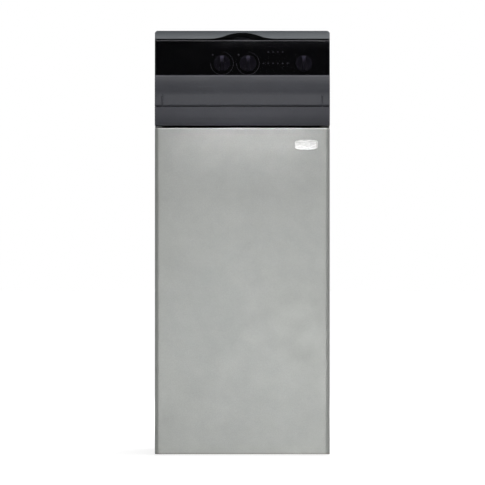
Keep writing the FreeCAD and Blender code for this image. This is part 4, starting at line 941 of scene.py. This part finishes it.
def door_pad():
    """Foil-faced wool pressed on to pins inside the door."""
    low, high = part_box("door_insulation")
    middle = (low + high) / 2
    half = (high - low) / 2
    points = []
    for row in range(PAD_ROWS + 1):
        for column in range(PAD_COLUMNS + 1):
            x = half.x * (2 * column / PAD_COLUMNS - 1)
            z = half.z * (2 * row / PAD_ROWS - 1)
            rise = pad_level(x, z, half.x, half.z) * (high.y - low.y)
            points.append((middle.x + x, low.y + rise, middle.z + z))
    wide = PAD_COLUMNS + 1
    faces = []
    for row in range(PAD_ROWS):
        for first in range(row * wide, row * wide + PAD_COLUMNS):
            faces.append((first, first + 1, first + wide + 1, first + wide))
    rim = list(range(PAD_COLUMNS))
    rim += [row * wide + PAD_COLUMNS for row in range(PAD_ROWS)]
    rim += [PAD_ROWS * wide + column for column in range(PAD_COLUMNS, 0, -1)]
    rim += [row * wide for row in range(PAD_ROWS, 0, -1)]
    first = len(points)
    points += [(points[corner][0], low.y, points[corner][2]) for corner in rim]
    for step, corner in enumerate(rim):
        after = (step + 1) % len(rim)
        faces.append((corner, rim[after], first + after, first + step))
    faces.append(range(first, first + len(rim)))
    made = Form()
    made.add(points, faces)
    pad = place_piece(
        made.mesh("door_pad"), "mineral_wool", "door", finishes=["foil_facing"],
        replaced=["door_insulation"], crease=70,
    )
    stations = [(-2, 1.2), (0.5, 1.2), (0.5, 2.6), (0.1, 6), (-0.6, 11.2), (-0.2, 11.6), (0.3, 11.2)]
    stations += [(1.2, 5.5), (1.5, 2.4), (1.5, 1.25), (4.6, 1.2), (5.0, 0.8)]
    pins = Form()
    for pin_x, pin_z in PAD_PINS:
        rise = pad_level(pin_x, pin_z, half.x, half.z) * (high.y - low.y)
        spot = facing((middle.x + pin_x, low.y + rise - 0.4 * MM, middle.z + pin_z), BACK)
        pins.turned(stations, spot, segments=28)
    place_piece(pins.mesh("pad_pins"), "steel", "door")


def soft_copy(name, node, voxel, inward):
    """A soft solid remade in small even faces, each point moved in by its own amount."""
    copy = new_object(name, nodes[node].data.copy())
    join_facets(copy)
    even = copy.modifiers.new("even", "REMESH")
    even.mode = "VOXEL"
    even.voxel_size = voxel
    mesh = finished(copy)
    mesh.name = name
    moved = [vertex.co - vertex.normal * inward(vertex.co, vertex.normal) for vertex in mesh.vertices]
    for vertex, place in zip(mesh.vertices, moved):
        vertex.co = place
    mesh.update()
    return mesh


# The straps round the jacket: their heights, width, corners and pull, and how far the pull spreads.
STRAP_LEVELS = (0.312, 0.455, 0.598)
STRAP_WIDTH = 16 * MM
STRAP_CORNER = 9 * MM
STRAP_PRESS = 2.4 * MM
STRAP_SPREAD = 24 * MM
BUCKLE_X = 62 * MM


def strap_press(z):
    """How far the straps pull the jacket in at a height."""
    nearest = min(abs(z - level) for level in STRAP_LEVELS)
    return STRAP_PRESS * exp(-(nearest / STRAP_SPREAD) ** 2)


def jacket():
    """Wool round the cast block, faced with foil."""

    def inward(place, normal):
        creases = ripple(place, 16 * MM)
        if abs(normal.z) > 0.5:
            return 0.8 * MM * creases
        return strap_press(place.z) + 0.9 * MM * creases

    mesh = soft_copy("foil_jacket", "insulation_jacket", 4 * MM, inward)
    made = place_piece(
        mesh, "mineral_wool", finishes=["foil_facing", "mineral_wool"],
        replaced=["insulation_jacket"], crease=60,
    )
    for face in mesh.polygons:
        face.material_index = 1 if abs(face.normal.z) > 0.6 else 0


def strap_ring(low, high, inset, z):
    """Points round the jacket at a height, with rounded corners."""
    left, right = low.x + inset, high.x - inset
    front, back = low.y + inset, high.y - inset
    ring = []
    for x, y, start in ((right, back, 0), (left, back, 90), (left, front, 180), (right, front, 270)):
        middle_x = x - copysign(STRAP_CORNER, x)
        middle_y = y - copysign(STRAP_CORNER, y)
        for step in range(7):
            angle = radians(start + 15 * step)
            out_x, out_y = STRAP_CORNER * cos(angle), STRAP_CORNER * sin(angle)
            ring.append((middle_x + out_x, middle_y + out_y, z))
    return ring


def jacket_straps():
    """Steel straps that hold the jacket, each with its buckle."""
    low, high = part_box("insulation_jacket")
    made = Form()
    for level in STRAP_LEVELS:
        rings = []
        for offset, side in ((0.2, -1), (1.0, -1), (1.0, 1), (0.2, 1)):
            rings.append(strap_ring(low, high, STRAP_PRESS - offset * MM, level + side * STRAP_WIDTH / 2))
        made.skin(rings, closed=True)
        buckle = Vector((BUCKLE_X, low.y + STRAP_PRESS - 1.8 * MM, level))
        for half in (Vector((15, 1.2, 11)) * MM, Vector((9, 1.8, 12)) * MM):
            made.block(buckle - half, buckle + half)
    place_piece(made.mesh("jacket_straps"), "steel")


def fire_lining():
    """Pressed fibre boards round the fire, with soft edges."""

    def inward(place, normal):
        return 0.7 * MM * ripple(place, 9 * MM)

    mesh = soft_copy("fire_lining", "chamber_lining", 3 * MM, inward)
    made = place_piece(mesh, "fibre_board", replaced=["chamber_lining"], crease=60)


# Pipe connections


def screw_thread(start, end, radius, pitch):
    """Outer stations of a rolled thread between two heights, in millimetres."""
    depth = 0.64 * pitch
    per_turn = 10
    count = int((end - start) / pitch * per_turn)

    def ridge(height):
        fade = eased((height - start) / pitch) * eased((end - height) / pitch)

        def reach(angle):
            phase = (height / pitch - angle / tau) % 1
            return radius - depth * (1 - fade * (0.5 + 0.5 * cos(tau * phase)))

        return reach

    heights = [start + (end - start) * step / count for step in range(count + 1)]
    return [(height, ridge(height)) for height in heights]


def rear_axis(node):
    """The front end of a node's axis, looking back, and the axis's length in millimetres."""
    low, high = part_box(node)
    middle = (low + high) / 2
    return facing((middle.x, low.y, middle.z), BACK), (high.y - low.y) / MM


def turned_piece(name, slot, stations, spots, segments, closed=False, replaced=()):
    """A piece of the cabinet: one turned shape at one or more spots."""
    made = Form()
    for spot in spots:
        made.turned(stations, spot, segments, closed)
    place_piece(made.mesh(name), slot, replaced=replaced)


def water_stub(node):
    """Flanged stub with a pipe thread on its outer end."""
    spot, length = rear_axis(node)
    flange = 8.0
    start = length - 28.0
    stations = [(0, 31.4), (0.6, 32), (flange - 0.8, 32), (flange, 31.2), (flange, 17.5), (flange + 2.4, 15)]
    stations += [(start - 0.4, 15)] + screw_thread(start, length, 16.6, 2.309)
    stations += [(length, 13.3), (length - 0.6, 12.5), (0.4, 12.5), (0, 12.9)]
    turned_piece(node + "_stub", "steel", stations, [spot], 60, closed=True, replaced=[node])


def gas_stub(node):
    """Hexagon nut inside the casing and a thread outside it."""
    spot, length = rear_axis(node)
    start = length - 24.0
    stations = hex_stations(0, 9, 20) + [(9, 12.2), (start - 0.4, 12.2)]
    stations += screw_thread(start, length, 13.2, 1.814)
    stations += [(length, 10.2), (length - 0.8, 9.3), (0.4, 9.3), (0, 9.8)]
    turned_piece(node + "_stub", "brass", stations, [spot], 60, closed=True, replaced=[node])


def ribbed_gland():
    """Cable gland: locknuts on both sides of the panel and a ribbed dome nut."""
    spot, length = rear_axis("cable_gland")
    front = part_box("cable_gland")[0].y
    lock, cap = [(face.y - front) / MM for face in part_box("back_panel")]
    stations = screw_thread(0, lock - 6, 7.5, 1.5) + hex_stations(lock - 6, lock - 0.02, 13)
    stations += [(lock, 7.5), (cap, 7.5)] + hex_stations(cap + 0.02, cap + 6, 13)
    stations += [(cap + 6, 10.0), (cap + 6.6, 10.6)]
    stations += [(cap + 7.2, ribbed(10.8, 0.35, 16)), (cap + 15, ribbed(10.4, 0.35, 16))]
    stations += [(cap + 18, 9.6), (cap + 20, 8.6), (length - 0.6, 7.0), (length, 5.6), (length - 0.2, 4.6)]
    stations += [(length - 3, 4.5), (0.4, 4.5), (0, 5.0)]
    turned_piece("ribbed_gland", "box_plastic", stations, [spot], 96, closed=True, replaced=["cable_gland"])


def hose_cock():
    """Drain cock with spanner flats and a ribbed hose tail, and the screw on its lever."""
    low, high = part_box("drain_cock")
    axis = joints["drain_turn"]["pos_m"]
    reach = (high.y - low.y) / MM
    body = [(0, 31.2), (0.6, 32), (7.2, 32), (8, 31.2), (8, 14), (10.5, 11.2), (26, 11.2)]
    body += hex_stations(26, 40, 13.4) + [(40, 10.8), (46, 10.8), (48, 12), (reach - 1.2, 12), (reach, 10.8)]
    made = Form()
    made.turned(body, on_axis("drain_turn", high.y), segments=60)
    length = (axis[2] - low.z) / MM
    tail = [(0, 8), (12, 8), (12.6, 7.4)]
    for rib in range(4):
        top = 13.4 + rib * 4.8
        tail += [(top, 6.2), (top + 0.4, 7.6), (top + 4.4, 6.2)]
    tail += [(length - 0.5, 6.0), (length, 5.4), (length, 4.2), (length - 0.4, 3.8), (2, 3.8)]
    made.turned(tail, on_axis("drain_turn", low.y + 8 * MM, DOWN), segments=40, closed=True)
    place_piece(made.mesh("hose_cock"), "brass", replaced=["drain_cock"])
    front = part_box("drain_lever")[0].y
    screw = cross_screw(radius=3.4, height=1.8, length=1.0)
    fasten("lever_screw", screw, [((axis[0], front, axis[2]), FRONT)], body="drain_handle")


# Gas valve


def valve_fittings():
    """Nuts on the coils and test points below them."""
    low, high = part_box("gas_valve")
    coil_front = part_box("valve_coils")[0].y
    coils = islands("valve_coils")
    stations = [(0, 8.0), (1.0, 8.0), (1.0, 6.0)] + hex_stations(1.0, 5.4, 5.6)
    stations += [(5.4, 3.0), (8.4, 3.0), (9, 2.4)]
    spots = [facing((coil.x, coil_front, coil.z), FRONT) for coil in coils]
    turned_piece("coil_nuts", "steel", stations, spots, 48)
    stations = [(0, 5.2)] + hex_stations(0.1, 3.4, 4.6)
    stations += [(3.4, 2.8), (9.4, 2.4), (10.4, 2.7), (11.2, 2.7), (12, 2.0)]
    middle = (low.x + high.x) / 2
    height = coils[0].z - 19 * MM
    spots = [facing((middle + x * MM, low.y, height), FRONT) for x in (-11, 11)]
    turned_piece("test_points", "brass", stations, spots, 36)


def regulator():
    """Ribbed cap on the valve's side, on a flange with four screws."""
    low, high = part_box("gas_valve")
    y = (low.y + high.y) / 2
    z = islands("valve_coils")[0].z
    flange = 4.2
    stations = [(0, 19), (3.4, 19), (flange, 18), (flange, 12.5)]
    stations += [(4.6, ribbed(12, 0.3, 24)), (11, ribbed(11.6, 0.3, 24))]
    stations += [(12, 10.6), (12.2, 8), (11.6, 7.2), (11.4, 3)]
    turned_piece("regulator_cap", "valve_casting", stations, [facing((low.x, y, z), LEFT)], 96)
    out = 15.5 * MM
    spots = []
    for angle in (radians(degrees) for degrees in (45, 135, 225, 315)):
        spot = (low.x - flange * MM, y + out * cos(angle), z + out * sin(angle))
        spots.append((spot, LEFT))
    fasten("regulator_screws", cross_screw(radius=2.3, height=1.4, length=1.0), spots)


# Flue


def hood_seams():
    """Lapped seams with rivets on the draught hood's sides."""
    low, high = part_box("draught_hood")
    lap = 1.1 * MM
    half = 7 * MM
    seams = Form()
    rivets = []
    for side, x, direction in ((-1, low.x, LEFT), (1, high.x, RIGHT)):
        outer = x + side * lap
        for y in (low.y + 7 * MM, high.y - 9 * MM):
            seam_low = (min(x, outer), y - half, low.z + 1 * MM)
            seam_high = (max(x, outer), y + half, high.z - 1 * MM)
            seams.block(seam_low, seam_high, edge=0.3 * MM)
            for share in (0.08, 0.36, 0.64, 0.92):
                rivets.append(((outer, y, low.z + (high.z - low.z) * share), direction))
    place_piece(seams.mesh("hood_seams"), "flue_steel")
    stations = [(-0.5, 1.6), (0, 3.1), (0.35, 3.1), (0.9, 2.5), (1.2, 1.5), (1.1, 1.3), (0.4, 0.9)]
    rivet = Form()
    rivet.turned(stations, segments=24)
    fasten("hood_rivets", rivet, rivets)


def socket_beads():
    """Rolled beads round the flue socket."""
    low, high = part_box("flue_collar")
    spot = facing(((low.x + high.x) / 2, (low.y + high.y) / 2, low.z), UP)
    length = (high.z - low.z) / MM
    wall = 66.7
    made = Form()
    for level in (length - 16, length - 4):
        ring = [(level - 2.4, wall - 0.2), (level - 1.6, wall + 0.9), (level, wall + 1.4)]
        ring += [(level + 1.6, wall + 0.9), (level + 2.4, wall - 0.2), (level, wall - 0.6)]
        made.turned(ring, spot, segments=96, closed=True)
    place_piece(made.mesh("socket_beads"), "flue_steel")


# Light, floor and camera

# How bright the room is in mirrors, where it turns white behind the object, and the fill on matt surfaces.
ROOM_LEVEL = 0.03
ROOM_END = 0.85
FILL_LEVEL = 0.09

# The floor glows a little less near the object, and mirrors show it white from the object backwards.
FLOOR_HALF = 40.0
NEAR_GLOW, FAR_GLOW = 0.84, 1.0
NEAR_REACH, FAR_REACH = 0.5, 1.6
PALE_PAPER = (0.8, 0.8, 0.8, 1)
SHADOW_PAPER = (0.3, 0.3, 0.3, 1)
MIRROR_START, MIRROR_FULL = 0.0, 1.5


def mirror_rays(tree, path):
    """1 for rays that a mirror or a pane sends on."""
    return tree.math("MAXIMUM", path["Is Glossy Ray"], path["Is Transmission Ray"])


def studio_world():
    """White behind the object, a dim room in front of it, and a soft fill on matt surfaces."""
    world = bpy.data.worlds.new("studio")
    bpy.context.scene.world = world
    world.use_nodes = True
    tree = Nodes(world.node_tree, "Generated")
    path = tree.add("LightPath")
    room = tree.ramp("Y", ROOM_END, 1.0, ROOM_LEVEL, 1.0)
    seen = tree.add("Mix", {0: mirror_rays(tree, path), 2: FILL_LEVEL, 3: room})[0]
    level = tree.add("Mix", {0: path["Is Camera Ray"], 2: seen, 3: 1.0})[0]
    tree.fill(world.node_tree.nodes["Background"], {"Color": (1, 1, 1, 1), "Strength": level})


# Each lamp's place, size, power, aim, and spread in degrees.
LAMPS = {
    "key": ((0.2, -5.2, 4.2), (3.6, 1.2), 205, (0, -0.2, 0.45), 180),
    "upper": ((0, -3.4, 0.66), (0.22, 0.12), 0.0143, (0, -0.29, 0.672), 4.4),
    "low": ((0.15, -2.7, 0.14), (0.5, 0.5), 0.6, (0.03, -0.29, 0.06), 42),
    "top": ((0.55, -0.8, 1.8), (0.4, 0.4), 7, (0, -0.29, 0.8), 180),
    "back": ((0.8, 3.2, 2.0), (2.0, 2.0), 110, (0, -0.2, 0.45), 180),
}


def studio_lamps():
    for name, (place, size, power, aim, spread) in LAMPS.items():
        data = bpy.data.lights.new(name, "AREA")
        data.shape = "RECTANGLE"
        data.size, data.size_y = size
        data.energy = power
        data.spread = radians(spread)
        made = new_object(name, data)
        made.location = place
        made.rotation_euler = (Vector(aim) - made.location).to_track_quat("-Z", "Y").to_euler()


def studio_floor():
    """A pale floor that reads as white and still takes the shadow."""
    half = FLOOR_HALF
    corners = [(-half, -half, 0), (half, -half, 0), (half, half, 0), (-half, half, 0)]
    mesh = bpy.data.meshes.new("floor")
    mesh.from_pydata(corners, [], [(0, 1, 2, 3)])
    floor = new_object("floor", mesh)
    material = bpy.data.materials.new("floor_paper")
    material.use_nodes = True
    material.node_tree.nodes.clear()
    tree = Nodes(material.node_tree)
    reach = tree.add("VectorMath", {0: tree.place}, operation="LENGTH")["Value"]
    glow = tree.spread(reach, NEAR_GLOW, FAR_GLOW, (NEAR_REACH, FAR_REACH))
    shade = tree.add("BsdfDiffuse", {"Color": SHADOW_PAPER})[0]
    white = tree.add("AddShader", {0: shade, 1: tree.add("Emission", {"Strength": glow})[0]})[0]
    path = tree.add("LightPath")
    mirrored = tree.product(mirror_rays(tree, path), tree.ramp("Y", MIRROR_START, MIRROR_FULL))
    seen = tree.math("MAXIMUM", path["Is Camera Ray"], mirrored)
    paper = tree.add("BsdfDiffuse", {"Color": PALE_PAPER})[0]
    surface = tree.add("MixShader", {0: seen, 1: paper, 2: white})[0]
    tree.add("OutputMaterial", {"Surface": surface})
    mesh.materials.append(material)


IMAGE_SIDE = 485
DOOR_FOOT_ROW = 454.2
MM_PER_PIXEL = 2.0
SIDE_SHIFT = 0.2
CAMERA_DISTANCE = 12.0
SENSOR = 36.0


def photo_camera():
    """Straight on, with the door's foot on the same row of the picture as in the photograph."""
    door_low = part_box("front_door")[0]
    rise = (DOOR_FOOT_ROW - IMAGE_SIDE / 2) * MM_PER_PIXEL * MM
    view_width = IMAGE_SIDE * MM_PER_PIXEL * MM
    data = bpy.data.cameras.new("photo_camera")
    data.sensor_width = SENSOR
    data.lens = SENSOR * CAMERA_DISTANCE / view_width
    data.shift_x = SIDE_SHIFT / IMAGE_SIDE
    data.clip_end = 60
    made = new_object("photo_camera", data)
    made.location = (0, door_low.y - CAMERA_DISTANCE, door_low.z + rise)
    made.rotation_euler = (pi / 2, 0, 0)
    bpy.context.scene.camera = made


# The scene

bpy.context.scene.view_settings.view_transform = "Standard"
make_finishes()
dress_nodes()
for solid in nodes.values():
    soften(solid)
casing_screws()
burner_screws()
for control in ("heating", "hot_water", "mode"):
    turning_knob(control)
fascia_marks()
blank_badge()
door_pad()
jacket()
jacket_straps()
fire_lining()
water_stub("flow_connection")
water_stub("return_connection")
gas_stub("gas_connection")
ribbed_gland()
hose_cock()
valve_fittings()
regulator()
hood_seams()
socket_beads()
studio_world()
studio_lamps()
studio_floor()
photo_camera()
